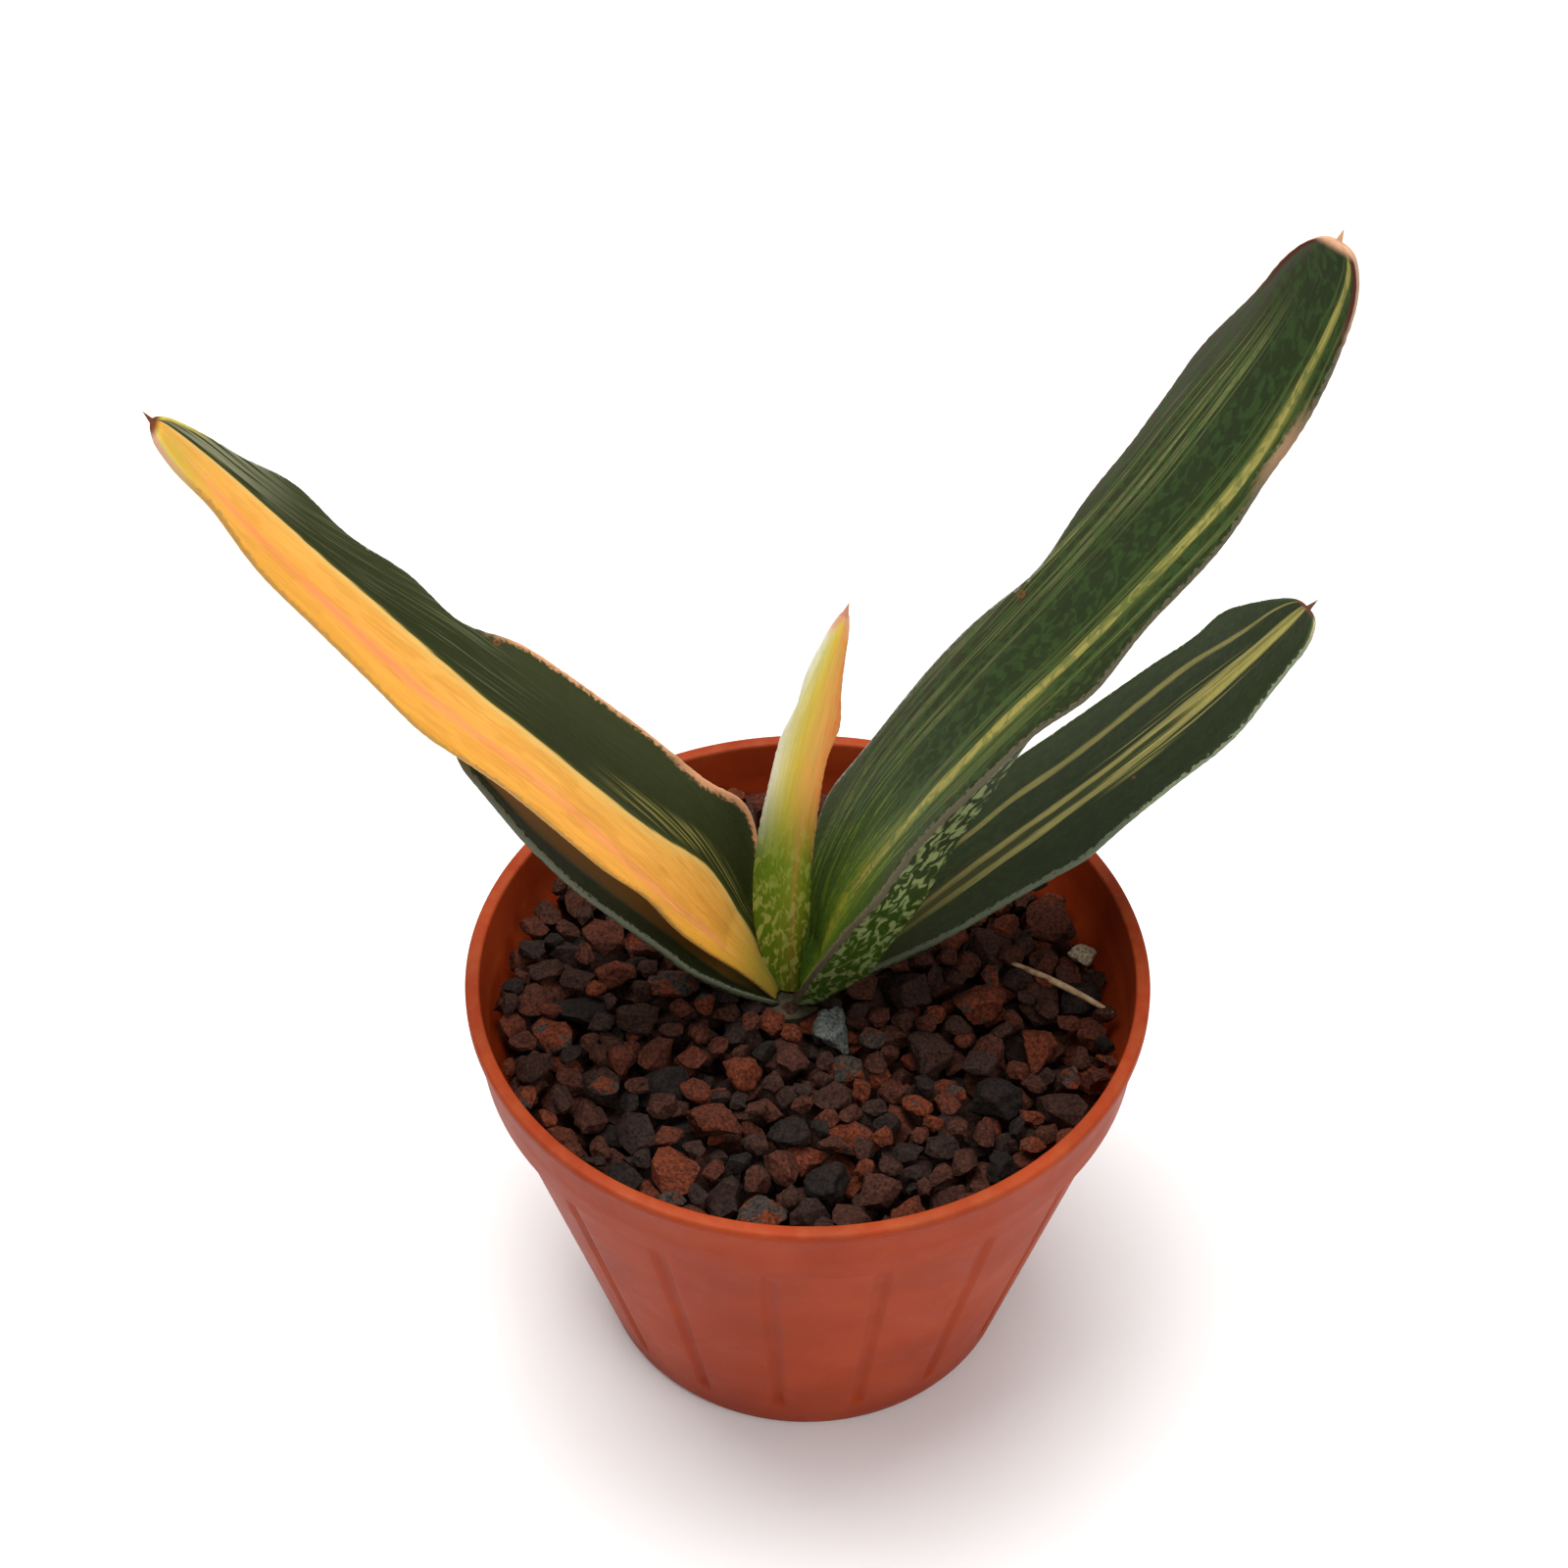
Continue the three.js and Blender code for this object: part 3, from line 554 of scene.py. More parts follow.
# %% Let the stones settle
def settle(rng, kept_places):
    """Place, half sizes and turn of each loose stone; each takes its lowest try."""
    count = int(2 * HEAP_HALF / CELL)
    axis = (np.arange(count) + 0.5) * CELL - HEAP_HALF
    grid_x, grid_y = np.meshgrid(axis, axis, indexing="ij")
    heap = np.full((count, count), HEAP_BASE)
    stones = []
    misses = 0
    while misses < MOST_MISSES and len(stones) < MOST_STONES:
        size = rng.choice(GRIT_SIZES) * rng.uniform(0.85, 1.15)
        a, b, c = size / 2, size * rng.uniform(0.32, 0.46), size * rng.uniform(0.26, 0.4)
        turn = rng.uniform(0, math.pi)
        best = None
        for _ in range(TRIES):
            radius = (bed_reach(WALL_TOP) - b) * math.sqrt(rng.random())
            angle = rng.uniform(0, 2 * math.pi)
            x, y = radius * math.cos(angle), radius * math.sin(angle)
            i0, j0 = (int((v + HEAP_HALF - a) / CELL) for v in (x, y))
            i1, j1 = (int((v + HEAP_HALF + a) / CELL) + 1 for v in (x, y))
            dx, dy = grid_x[i0:i1, j0:j1] - x, grid_y[i0:i1, j0:j1] - y
            along = (dx * math.cos(turn) + dy * math.sin(turn)) / a
            across = (dy * math.cos(turn) - dx * math.sin(turn)) / b
            inside = 1 - along ** 2 - across ** 2
            covers = inside > 0
            if not covers.any():
                continue
            bulge = c * np.sqrt(np.maximum(inside, 0))
            z = (heap[i0:i1, j0:j1] + STONE_SEAT * bulge)[covers].max()
            outward = math.hypot(a * math.cos(turn - angle), b * math.sin(turn - angle))
            if radius + outward > bed_reach(z) + WALL_TOUCH:
                continue
            seat = highest_seat(x, y, a, c, kept_places)
            if z <= seat and (best is None or z < best[0]):
                best = (z, x, y, (i0, i1, j0, j1), bulge, covers)
        if best is None:
            misses += 1
            continue
        misses = 0
        z, x, y, (i0, i1, j0, j1), bulge, covers = best
        patch = heap[i0:i1, j0:j1]
        patch[covers] = np.maximum(patch, z + STONE_TOP * bulge)[covers]
        stones.append((x, y, z, a, b, c, turn))
    return stones


kept_places = []
for node in stone_nodes + ["crown_pebble", "pale_pebble"]:
    low, high = (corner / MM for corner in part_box(node))
    reach = max(high.x - low.x, high.y - low.y) / 2
    kept_places.append(((low.x + high.x) / 2, (low.y + high.y) / 2, reach, low.z))
loose = settle(random.Random(5), kept_places)
print("loose stones:", len(loose))


# %% Turn the settled places into stones
def stone_shapes(rng):
    """Some small stone shapes to choose from, each fitted to a box of half size 1."""
    shapes = []
    for _ in range(SHAPES):
        bm = bmesh.new()
        stone_mesh(bm, rng, fineness=2, cuts=7, roughness=0.26)
        fit_stone(bm.verts, (-1, -1, -1), (1, 1, 1))
        shapes.append(bpy.data.meshes.new("stone_shape"))
        bm.to_mesh(shapes[-1])
        bm.free()
    return shapes


def heap_pieces(stones, material, parts=3):
    """Copies a shape to each place; the stones are shared out over a few pieces."""
    rng = random.Random(9)
    shapes = stone_shapes(rng)
    for part in range(parts):
        bm = bmesh.new()
        tint = bm.verts.layers.float.new("tint")
        for x, y, z, a, b, c, turn in stones[part::parts]:
            before = len(bm.verts)
            bm.from_mesh(rng.choice(shapes))
            bm.verts.ensure_lookup_table()
            points = bm.verts[before:]
            matrix = (Matrix.Translation(Vector((x, y, z)) * MM)
                      @ Matrix.Rotation(turn, 4, "Z")
                      @ Matrix.Rotation(rng.uniform(-0.35, 0.35), 4, "X")
                      @ Matrix.Diagonal((a * MM, b * MM, c * MM, 1)))
            bmesh.ops.transform(bm, matrix=matrix, verts=points)
            own = rng.random()
            for point in points:
                point[tint] = own
        replaces = ["grit_bed"] if part == 0 else []
        finish_piece(f"grit_layer_{part + 1}", bm, material, replaces, False)
    for shape in shapes:
        bpy.data.meshes.remove(shape)


heap_pieces(loose, lava)


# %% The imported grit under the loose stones
PACKED_GAP = 0.3
PACKED_TOP = HEAP_BASE + 1.2
PACKED_TOP_RADIUS = 34
PACKED_GRAINS_PER_METRE = 420


def packed_grit():
    """A rough body that fills the pot up to the lowest loose stones."""
    floor_top = FOOT_HEIGHT + FLOOR_THICKNESS + PACKED_GAP
    heights = np.linspace(floor_top, PACKED_TOP, 12)
    profile = [(0, floor_top)]
    profile += [(body_radius(z) - WALL - PACKED_GAP, z) for z in heights]
    profile += [(r, PACKED_TOP) for r in np.linspace(PACKED_TOP_RADIUS, 0, 14)]
    bm = spun(profile, 96)
    tint = bm.verts.layers.float.new("tint")
    top = (PACKED_TOP - 0.1) * MM
    for point in bm.verts:
        rough = noise.fractal(point.co * PACKED_GRAINS_PER_METRE, 1.0, 2.0, 4)
        point[tint] = 0.3 + 0.2 * rough
        if point.co.z > top:
            point.co.z += min(rough, 0.5) * 0.9 * MM
    return bm


finish_piece("packed_grit", packed_grit(), lava, ["grit_bed"])

# %% [markdown]
# ## The leaves
# A gasteria leaf is a thick tongue: dished on its face, rounded on its back, with a
# rough margin and a small spine at the tip. It could be sculpted, but its markings
# run along it, so it is better grown from a flat grid. The grid's columns run from
# margin to margin and its rows from base to tip, which gives a clean UV map. The
# grid is extruded once to get a back, and both sheets are then laid along a curve.

# %% The leaves' sizes, in millimetres and degrees
# pitch: above level at the base, middle and tip. heading: from +X at the base and
# tip. roll: about the leaf's own length. set: how far the base is from the plant's
# axis. widths: at WIDTH_PLACES. tip: how late and how bluntly the end rounds off.
# far, near: swells of the margins away from and towards the viewer. curl: how deep
# the face is dished. keel: how deep the ridge behind the near margin is, and where
# it ends.
WIDTH_PLACES = (0, 0.1, 0.25, 0.45, 0.65, 0.8, 0.9)
LEAVES = {
    "leaf_centre": dict(
        length=60.8, pitch=(97.6, 82, 71.3), heading=(25, 29), roll=(-51, -60), set=0,
        widths=(3.4, 5.2, 7.4, 6.6, 6.4, 5.4, 3.4), tip=(1.3, 0.7),
        far=[(0.78, -0.6)], near=[(0.75, 0.6)],
        thickness=2.6, curl=(0.5, 0.3), keel=(0, 0.4)),
    "leaf_left_upper": dict(
        length=118, pitch=(75.6, 49.8, 59.8), heading=(192.6, 184.4), roll=(38, 10), set=1,
        widths=(3, 11, 20.2, 18.5, 17.5, 11.9, 11.2), tip=(1.4, 0.65),
        far=[(0.18, 4), (0.61, -2.3), (0.83, 2.2)],
        near=[(0.28, -1.3), (0.61, 0.8), (0.91, -2.3)],
        thickness=4.2, curl=(4.2, 1.4), keel=(0, 0.4)),
    "leaf_right_upper": dict(
        length=123.8, pitch=(86.5, 52, 74.4), heading=(-4, 20.4), roll=(-5, -32), set=0.9,
        widths=(5.5, 17, 18.4, 17.5, 17, 17.4, 11.8), tip=(2.2, 0.5),
        far=[(0.19, 1.6), (0.56, -1.6), (0.85, 1.1)],
        near=[(0.22, 1.1), (0.54, 1.6), (0.79, -1.1)],
        thickness=4.2, curl=(4.2, 1.4), keel=(6, 0.47)),
    "leaf_left_lower": dict(
        length=58.7, pitch=(51, 51.3, 48.3), heading=(188, 186), roll=(1, 6), set=1.6,
        widths=(4.6, 9.6, 15, 16.2, 16.6, 13, 7), tip=(1.2, 0.8),
        far=[], near=[(0.3, 0.3)],
        thickness=3.4, curl=(6.4, 1.2), keel=(0, 0.4)),
    "leaf_right_lower": dict(
        length=79.6, pitch=(42.4, 32.7, 34), heading=(13, 26), roll=(2.5, 2.5), set=2,
        widths=(6, 9.4, 16.7, 20.2, 18.7, 17.8, 11.2), tip=(2, 0.5),
        far=[(0.9, 2.2)], near=[(0.51, 0.8)],
        thickness=4, curl=(6.4, 1.2), keel=(0, 0.4)),
}
FULL_WIDTH = 12.0
SWELL_REACH = 0.055
FULL_SWELL_WIDTH = 6.0
EASING = 0.05
KEEL_PLACE = 0.9
KEEL_START = 0.4
KEEL_RISE = 0.1
CURL_FADE = 0.09
TIP_START = 0.9
TIP_WIDTH = 0.8
TEETH_PER_MM = 1.4
TOOTH_SIZE = 0.08
WAVES_PER_MM = 0.09
WAVE_SIZE = 0.25
RIPPLES_PER_MM = 0.05
RIPPLE_SIZE = 0.25
EDGE = 0.9
SHEATH = 1.3
SHEATH_LENGTH = 0.2
RIM_START = 0.93
SPINE_LENGTH = 1.6
LEAF_COLUMNS = 28
LEAF_ROWS = 290
CROWDING = 1.25
SPINE_ROWS = 10


# %% Which way a leaf points, and how wide and thick it is
def along(values, share):
    """A value that changes smoothly from base to tip."""
    if len(values) == 2:
        return values[0] + (values[1] - values[0]) * share
    base, middle, tip = values
    bend = 2 * (base + tip - 2 * middle)
    return base + (tip - base - bend) * share + bend * share * share


def leaf_directions(leaf, share):
    """The leaf's forward, side and up directions; its side is the near one."""
    pitch = math.radians(along(leaf["pitch"], share))
    heading = math.radians(along(leaf["heading"], share))
    roll = math.radians(along(leaf["roll"], share))
    forward = Vector((math.cos(heading) * math.cos(pitch),
                      math.sin(heading) * math.cos(pitch), math.sin(pitch)))
    side = Vector((math.sin(heading), -math.cos(heading), 0))
    turn = Matrix.Rotation(-roll, 3, forward)
    near = 1 if math.cos(math.radians(leaf["heading"][0])) > 0 else -1
    return forward, turn @ side * near, turn @ side.cross(forward)


def plain_width(leaf, share):
    """The width with sharp changes, and with the leaf's last tenth rounded off."""
    widths = leaf["widths"]
    if share >= TIP_START:
        late, blunt = leaf["tip"]
        past = min((share - TIP_START) / (1 - TIP_START), 1)
        return TIP_WIDTH + (widths[-1] - TIP_WIDTH) * (1 - past ** late) ** blunt
    return float(np.interp(share, WIDTH_PLACES, widths))


def width_at(leaf, share):
    """The width, eased over a stretch that gets shorter towards both ends."""
    reach = min(EASING, share, (1 - share) / 2)
    places = [share + step * reach for step in (-1, -0.5, 0, 0.5, 1)]
    return sum(plain_width(leaf, place) for place in places) / len(places)


def swell_at(swells, share, width):
    """How far a margin swells out past the plain width."""
    total = sum(size * math.exp(-((share - place) / SWELL_REACH) ** 2)
                for place, size in swells)
    return total * min(width / FULL_SWELL_WIDTH, 1)


# %% The leaf's rows
def leaf_row(leaf, share, centre):
    """The sizes and directions of one row of the leaf, in mm."""
    width = width_at(leaf, share)
    fade = min(width / leaf["thickness"], 1)
    taper = math.sqrt(max(1 - share ** 3, 0))
    swell = min(share / SHEATH_LENGTH, 1)
    base_curl, far_curl = leaf["curl"]
    dish = far_curl + (base_curl - far_curl) * math.exp(-share / CURL_FADE)
    depth, end = leaf["keel"]
    rise = min(KEEL_START + (1 - KEEL_START) * share / KEEL_RISE, 1)
    keel = depth * rise * max(1 - (share / end) ** 3, 0)
    return dict(
        share=share, centre=centre, directions=leaf_directions(leaf, share), fade=fade,
        half=width / 2,
        near=width / 2 + swell_at(leaf["near"], share, width),
        far=width / 2 + swell_at(leaf["far"], share, width),
        thick=(SHEATH + (leaf["thickness"] * taper - SHEATH) * swell * taper) * fade,
        dish=dish * min(width / FULL_WIDTH, 1) ** 2 * math.sqrt(max(1 - share, 0)),
        keel=keel, place=share * leaf["length"])


def leaf_rows(leaf):
    """All rows from base to tip, closer together near the tip, then the spine's."""
    out = math.radians(leaf["heading"][0])
    centre = PLANT + leaf["set"] * Vector((math.cos(out), math.sin(out), 0))
    rows = []
    before = 0.0
    for i in range(LEAF_ROWS + 1):
        share = 1 - (1 - i / LEAF_ROWS) ** CROWDING
        forward = leaf_directions(leaf, (before + share) / 2)[0]
        centre = centre + forward * leaf["length"] * (share - before)
        rows.append(leaf_row(leaf, share, centre))
        before = share
    for i in range(1, SPINE_ROWS + 1):
        part = i / SPINE_ROWS
        row = dict(rows[LEAF_ROWS])
        row["centre"] = centre + row["directions"][0] * SPINE_LENGTH * part
        for size in ("near", "far", "thick", "fade"):
            row[size] *= 1 - part
        row["place"] += SPINE_LENGTH * part
        rows.append(row)
    return rows


# %% Shape a leaf from a grid
def ridge_at(across):
    """The part of the keel's depth that a place across the back has."""
    if across <= KEEL_PLACE:
        return ((1 + across) / (1 + KEEL_PLACE)) ** 2
    return ((1 - across) / (1 - KEEL_PLACE)) ** 0.8


def leaf_point(row, across, on_back, shift):
    """One point of the leaf's face or back, in mm; across is 1 at the near margin."""
    forward, side, up = row["directions"]
    half = row["near"] if across > 0 else row["far"]
    slim = min(half / 3, 1)
    tooth = noise.noise(Vector((row["place"] * TEETH_PER_MM, across * 9 + shift, 0)))
    wave = noise.noise(Vector((row["place"] * WAVES_PER_MM, across + shift, 7)))
    uneven = abs(across) ** 8 * (TOOTH_SIZE * tooth + WAVE_SIZE * wave)
    out = across * (half + uneven * slim)
    bulge = 1 - across * across
    rim = max((abs(across) - RIM_START) / (1 - RIM_START), 0)
    edge = EDGE / 2 * row["fade"] * math.sqrt(max(1 - rim * rim, 0))
    if on_back:
        belly = max(row["thick"] - EDGE * row["fade"], 0) * bulge
        lift = -edge - belly - row["keel"] * ridge_at(across)
    else:
        ripple = noise.noise(Vector((row["place"] * RIPPLES_PER_MM, across * 3, shift)))
        lift = edge + RIPPLE_SIZE * ripple * bulge * row["fade"]
    return row["centre"] + side * out - up * (row["dish"] * bulge - lift)


def leaf_mesh(name, leaf):
    """A closed leaf: a grid, extruded once, laid along the leaf's rows."""
    rows = leaf_rows(leaf)
    shift = random.Random(name).uniform(0, 50)
    bm = bmesh.new()
    bmesh.ops.create_grid(bm, x_segments=LEAF_COLUMNS, y_segments=len(rows) - 1, size=1.0)
    uv = bm.loops.layers.uv.new("leaf")
    skin = bm.verts.layers.float_vector.new("skin")
    fibre = bm.verts.layers.float.new("fibre")
    back = bm.verts.layers.float.new("back")

    def grid_place(point):
        row = rows[round((point.co.y + 1) / 2 * (len(rows) - 1))]
        return row, math.sin(point.co.x * math.pi / 2)

    for face in bm.faces:
        for loop in face.loops:
            row, across = grid_place(loop.vert)
            loop[uv].uv = ((1 - across) / 2, row["share"])
    made = bmesh.ops.extrude_face_region(bm, geom=bm.faces[:])["geom"]
    backs = {item for item in made if isinstance(item, bmesh.types.BMVert)}
    strings = {}
    for point in bm.verts:
        row, across = grid_place(point)
        on_back = point in backs
        strings.setdefault((row["place"], on_back), []).append((-across, point))
        point[back] = float(on_back)
        swelled = row["near"] if across > 0 else row["far"]
        point[fibre] = (1 - across * swelled / max(row["half"], swelled / 2)) / 2
        point.co = leaf_point(row, across, on_back, shift) * MM
    for (place, on_back), string in strings.items():
        string.sort(key=lambda item: item[0])
        steps = [(b[1].co - a[1].co).length / MM for a, b in zip(string, string[1:])]
        gone = 0.0
        for (_, point), step in zip(string, steps + [0.0]):
            point[skin] = (-gone if on_back else gone, place, sum(steps) - gone)
            gone += step
    bmesh.ops.remove_doubles(bm, verts=bm.verts, dist=2e-6)
    bmesh.ops.recalc_face_normals(bm, faces=bm.faces)
    return bm


# %% [markdown]
# ## The leaf skin
# The plant is variegated: whole strips of tissue have no green pigment and show
# yellow. The strips run from base to tip, so a colour ramp across the leaf draws
# them all at once. A curve along the leaf moves the ramp sideways, which lets a
# stripe wander. On top come thin pale streaks, the pale flecks that gasterias have,
# a rough grey or rosy margin and a few brown scars. The strips are measured against
# the leaf's plain width, so they run straight past a swell of the margin.


# %% Masks that follow the leaf
def drift_along(tree, share, points):
    """A value that follows a smooth line of points from base to tip."""
    node = add(tree, "FloatCurve", Value=share)
    curve = node.mapping.curves[0]
    for place, value in points[1:-1]:
        curve.points.new(place, value)
    for point, (place, value) in zip(curve.points, points):
        point.location = (place, value)
    node.mapping.update()
    return node.outputs[0]


def step_mask(tree, value, low, high, top=1.0):
    """0 below low, rising smoothly to top above high; low may be the larger."""
    first, last = (0.0, top) if low < high else (top, 0.0)
    mask = add(tree, "MapRange", SMOOTH, Value=value, From_Min=min(low, high),
               From_Max=max(low, high), To_Min=first, To_Max=last)
    return mask.outputs[0]


def span_mask(tree, value, span, soft, top=1.0):
    """top between the two ends of a span, fading to 0 over a soft edge."""
    low, high = span
    rise = step_mask(tree, value, low - soft, low + soft)
    fall = step_mask(tree, value, high + soft, high - soft, top)
    return add(tree, "Math", TIMES, _0=rise, _1=fall).outputs[0]


def grain(tree, skin, across, lengthwise, detail=3.0, distortion=0.0):
    """Noise on the skin, with so many spots per millimetre across and lengthwise."""
    place = add(tree, "VectorMath", TIMES, _0=skin, _1=(across, lengthwise, 0)).outputs[0]
    return add(tree, "TexNoise", Vector=place, Scale=1.0, Detail=detail,
               Distortion=distortion).outputs["Fac"]


# %% The skin of one leaf
def leaf_skin(name, leaf, stops, young, drift, margins, flecks, rim, lines=(),
              streaks=(), blotch=0.12, scars=0.0, rough=0.42):
    """A waxy leaf skin: strips, lines, streaks, flecks, margins, rim and scars."""
    material, tree, shader = new_material(name)
    split = add(tree, "SeparateXYZ", _0=add(tree, "UVMap", {"uv_map": "leaf"}).outputs[0])
    share = split.outputs["Y"]
    across = add(tree, "Attribute", {"attribute_name": "fibre"}).outputs["Fac"]
    skin = add(tree, "Attribute", {"attribute_name": "skin"}).outputs["Vector"]
    back = add(tree, "Attribute", {"attribute_name": "back"}).outputs["Fac"]
    sideways = add(tree, "Math", TIMES, _0=across, _1=max(LEAVES[leaf]["widths"]))
    lengthwise = add(tree, "Math", TIMES, _0=share, _1=LEAVES[leaf]["length"])
    fibres = add(tree, "CombineXYZ", X=sideways.outputs[0], Y=lengthwise.outputs[0]).outputs[0]
    fray = grain(tree, fibres, 2.6, 0.12, 4.0)
    waver = add(tree, "MapRange", Value=grain(tree, fibres, 0.16, 0.03), To_Min=-0.025,
                To_Max=0.025).outputs[0]
    ragged = add(tree, "MapRange", Value=fray, To_Min=-0.02, To_Max=0.02).outputs[0]
    wavy = add(tree, "Math", PLUS, _0=across, _1=waver).outputs[0]
    moved = add(tree, "Math", PLUS, _0=wavy, _1=ragged).outputs[0]
    drifted = add(tree, "Math", PLUS, _0=moved, _1=drift_along(tree, share, drift)).outputs[0]
    strip = add(tree, "Math", PLUS, _0=drifted, _1=-0.5).outputs[0]
    colour = fill_ramp(add(tree, "ValToRGB", _0=strip), stops)
    tender = fill_ramp(add(tree, "ValToRGB", _0=strip), young["stops"])
    base = step_mask(tree, share, young["to"], young["from"])
    colour = add(tree, "Mix", COLOURS, _0=base, _6=colour, _7=tender).outputs[2]
    for line in lines:
        path = drift_along(tree, share, line["path"])
        off = add(tree, "Math", {"operation": "SUBTRACT"}, _0=moved, _1=path).outputs[0]
        mask = span_mask(tree, off, (-line["reach"], line["reach"]), line["soft"])
        ends = span_mask(tree, share, line["span"], 0.05, line["strength"])
        drawn = add(tree, "Math", TIMES, _0=mask, _1=ends).outputs[0]
        colour = add(tree, "Mix", COLOURS, _0=drawn, _6=colour,
                     _7=linear(line["colour"])).outputs[2]
    for streak in streaks:
        thread = grain(tree, fibres, streak["fine"], streak["long"], 2.0)
        mask = step_mask(tree, thread, streak["cut"], streak["cut"] + 0.06)
        sides = span_mask(tree, strip, streak["across"], 0.03)
        ends = span_mask(tree, share, streak["span"], 0.06, streak["strength"])
        mask = add(tree, "Math", TIMES, _0=mask, _1=sides).outputs[0]
        mask = add(tree, "Math", TIMES, _0=mask, _1=ends).outputs[0]
        colour = add(tree, "Mix", COLOURS, _0=mask, _6=colour,
                     _7=linear(streak["colour"])).outputs[2]
    colour, fleck = add_flecks(tree, colour, skin, share, back, flecks)
    shade = add(tree, "MapRange", Value=fray, From_Min=0.3, From_Max=0.7,
                To_Min=1 - blotch, To_Max=1 + blotch).outputs[0]
    colour = add(tree, "VectorMath", {"operation": "SCALE"}, _0=colour, Scale=shade).outputs[0]
    if scars:
        colour = add_scars(tree, colour, skin, scars)
    colour = add_margins(tree, colour, skin, share, margins, rim)
    tree.links.new(colour, shader.inputs["Base Color"])
    finish_skin(tree, shader, skin, fray, fleck, rough)
    return material


# %% [markdown]
# Flecks are raised pale spots in crowded rows. They are strongest on the back of a
# leaf and near its base. Scars are small brown rings where the skin was hurt. The
# margin is measured in millimetres from the edge of the leaf.


# %% Flecks
FLECKS_PER_MM = (1.3, 0.7)


def add_flecks(tree, colour, skin, share, back, flecks):
    """Pale flecks, strong on the back and at the base; gives their mask too."""
    across, lengthwise = flecks.get("size", FLECKS_PER_MM)
    spots = step_mask(tree, grain(tree, skin, across, lengthwise, 1.5, 0.8), 0.47, 0.61)
    face = add(tree, "Math", {"operation": "SUBTRACT"}, _0=1.0, _1=back).outputs[0]
    masks = []
    for side, sheet, fade in (("face", face, (0.1, 0.5)), ("back", back, (0.2, 0.7))):
        shown, at_base, at_tip = flecks[side]
        strength = add(tree, "MapRange", SMOOTH, Value=share, From_Min=fade[0],
                       From_Max=fade[1], To_Min=at_base, To_Max=at_tip).outputs[0]
        mask = add(tree, "Math", TIMES, _0=spots, _1=sheet).outputs[0]
        mask = add(tree, "Math", TIMES, _0=mask, _1=strength).outputs[0]
        colour = add(tree, "Mix", COLOURS, _0=mask, _6=colour, _7=linear(shown)).outputs[2]
        masks.append(mask)
    return colour, add(tree, "Math", PLUS, _0=masks[0], _1=masks[1]).outputs[0]


# %% Scars, margins and gloss
SCARS_PER_MM = 0.12
RIM_BANDS = (("inner", 0.9), ("outer", 0.35))


def add_scars(tree, colour, skin, amount):
    """A few brown rings, about a millimetre wide, one at most in a cell of 8 mm."""
    cells = add(tree, "TexVoronoi", Vector=skin, Scale=SCARS_PER_MM)
    wobble = add(tree, "MapRange", Value=grain(tree, skin, 1.6, 1.6, 2.0),
                 To_Min=-0.03, To_Max=0.03).outputs[0]
    distance = add(tree, "Math", PLUS, _0=cells.outputs["Distance"], _1=wobble).outputs[0]
    ring = span_mask(tree, distance, (0.035, 0.075), 0.015)
    pick = add(tree, "SeparateColor", _0=cells.outputs["Color"]).outputs[0]
    chosen = step_mask(tree, pick, 1 - amount, 1.02 - amount)
    scar = add(tree, "Math", TIMES, _0=ring, _1=chosen).outputs[0]
    return add(tree, "Mix", COLOURS, _0=scar, _6=colour, _7=linear("#6f4326")).outputs[2]


def add_margins(tree, colour, skin, share, margins, rim):
    """Margins of each side, and the double rim round the tip."""
    split = add(tree, "SeparateXYZ", _0=skin)
    near = add(tree, "Math", {"operation": "ABSOLUTE"}, _0=split.outputs["X"]).outputs[0]
    far = split.outputs["Z"]
    speck = add(tree, "MapRange", Value=grain(tree, skin, 2.5, 1.2), From_Min=0.3,
                From_Max=0.7, To_Min=-0.3, To_Max=0.3).outputs[0]
    for margin in margins:
        edge = add(tree, "Math", PLUS, _0=far if margin["far"] else near, _1=speck).outputs[0]
        mask = step_mask(tree, edge, margin["reach"] * 1.3, margin["reach"] * 0.7)
        ends = span_mask(tree, share, margin["span"], 0.03)
        band = add(tree, "Math", TIMES, _0=mask, _1=ends).outputs[0]
        colour = add(tree, "Mix", COLOURS, _0=band, _6=colour,
                     _7=linear(margin["colour"])).outputs[2]
    closest = add(tree, "Math", {"operation": "MINIMUM"}, _0=near, _1=far).outputs[0]
    tip = step_mask(tree, share, rim["from"] - 0.03, rim["from"] + 0.03)
    for band_name, reach in RIM_BANDS:
        mask = step_mask(tree, closest, reach * 1.3, reach * 0.7)
        band = add(tree, "Math", TIMES, _0=mask, _1=tip).outputs[0]
        colour = add(tree, "Mix", COLOURS, _0=band, _6=colour,
                     _7=linear(rim[band_name])).outputs[2]
    spine = step_mask(tree, share, 0.99, 0.998)
    return add(tree, "Mix", COLOURS, _0=spine, _6=colour, _7=linear(rim["spine"])).outputs[2]


def finish_skin(tree, shader, skin, fray, fleck, rough):
    """The wax: a soft gloss, fine ridges along the fibres and raised flecks."""
    gloss = add(tree, "MapRange", Value=fray, From_Min=0.3, From_Max=0.7,
                To_Min=rough, To_Max=rough + 0.14).outputs[0]
    tree.links.new(gloss, shader.inputs["Roughness"])
    shader.inputs["Specular IOR Level"].default_value = 0.22
    ridges = grain(tree, skin, 3.0, 0.9)
    raised = add(tree, "Math", {"operation": "MULTIPLY_ADD"}, _0=fleck, _1=0.5,
                 _2=ridges).outputs[0]
    bump = add(tree, "Bump", Height=raised, Strength=0.25, Distance=0.25 * MM)
    tree.links.new(bump.outputs[0], shader.inputs["Normal"])
    shader.inputs["IOR"].default_value = 1.42
    shader.inputs["Subsurface Weight"].default_value = 0.08
    shader.inputs["Subsurface Radius"].default_value = (0.002, 0.0025, 0.0008)
    shader.inputs["Subsurface Scale"].default_value = 0.5


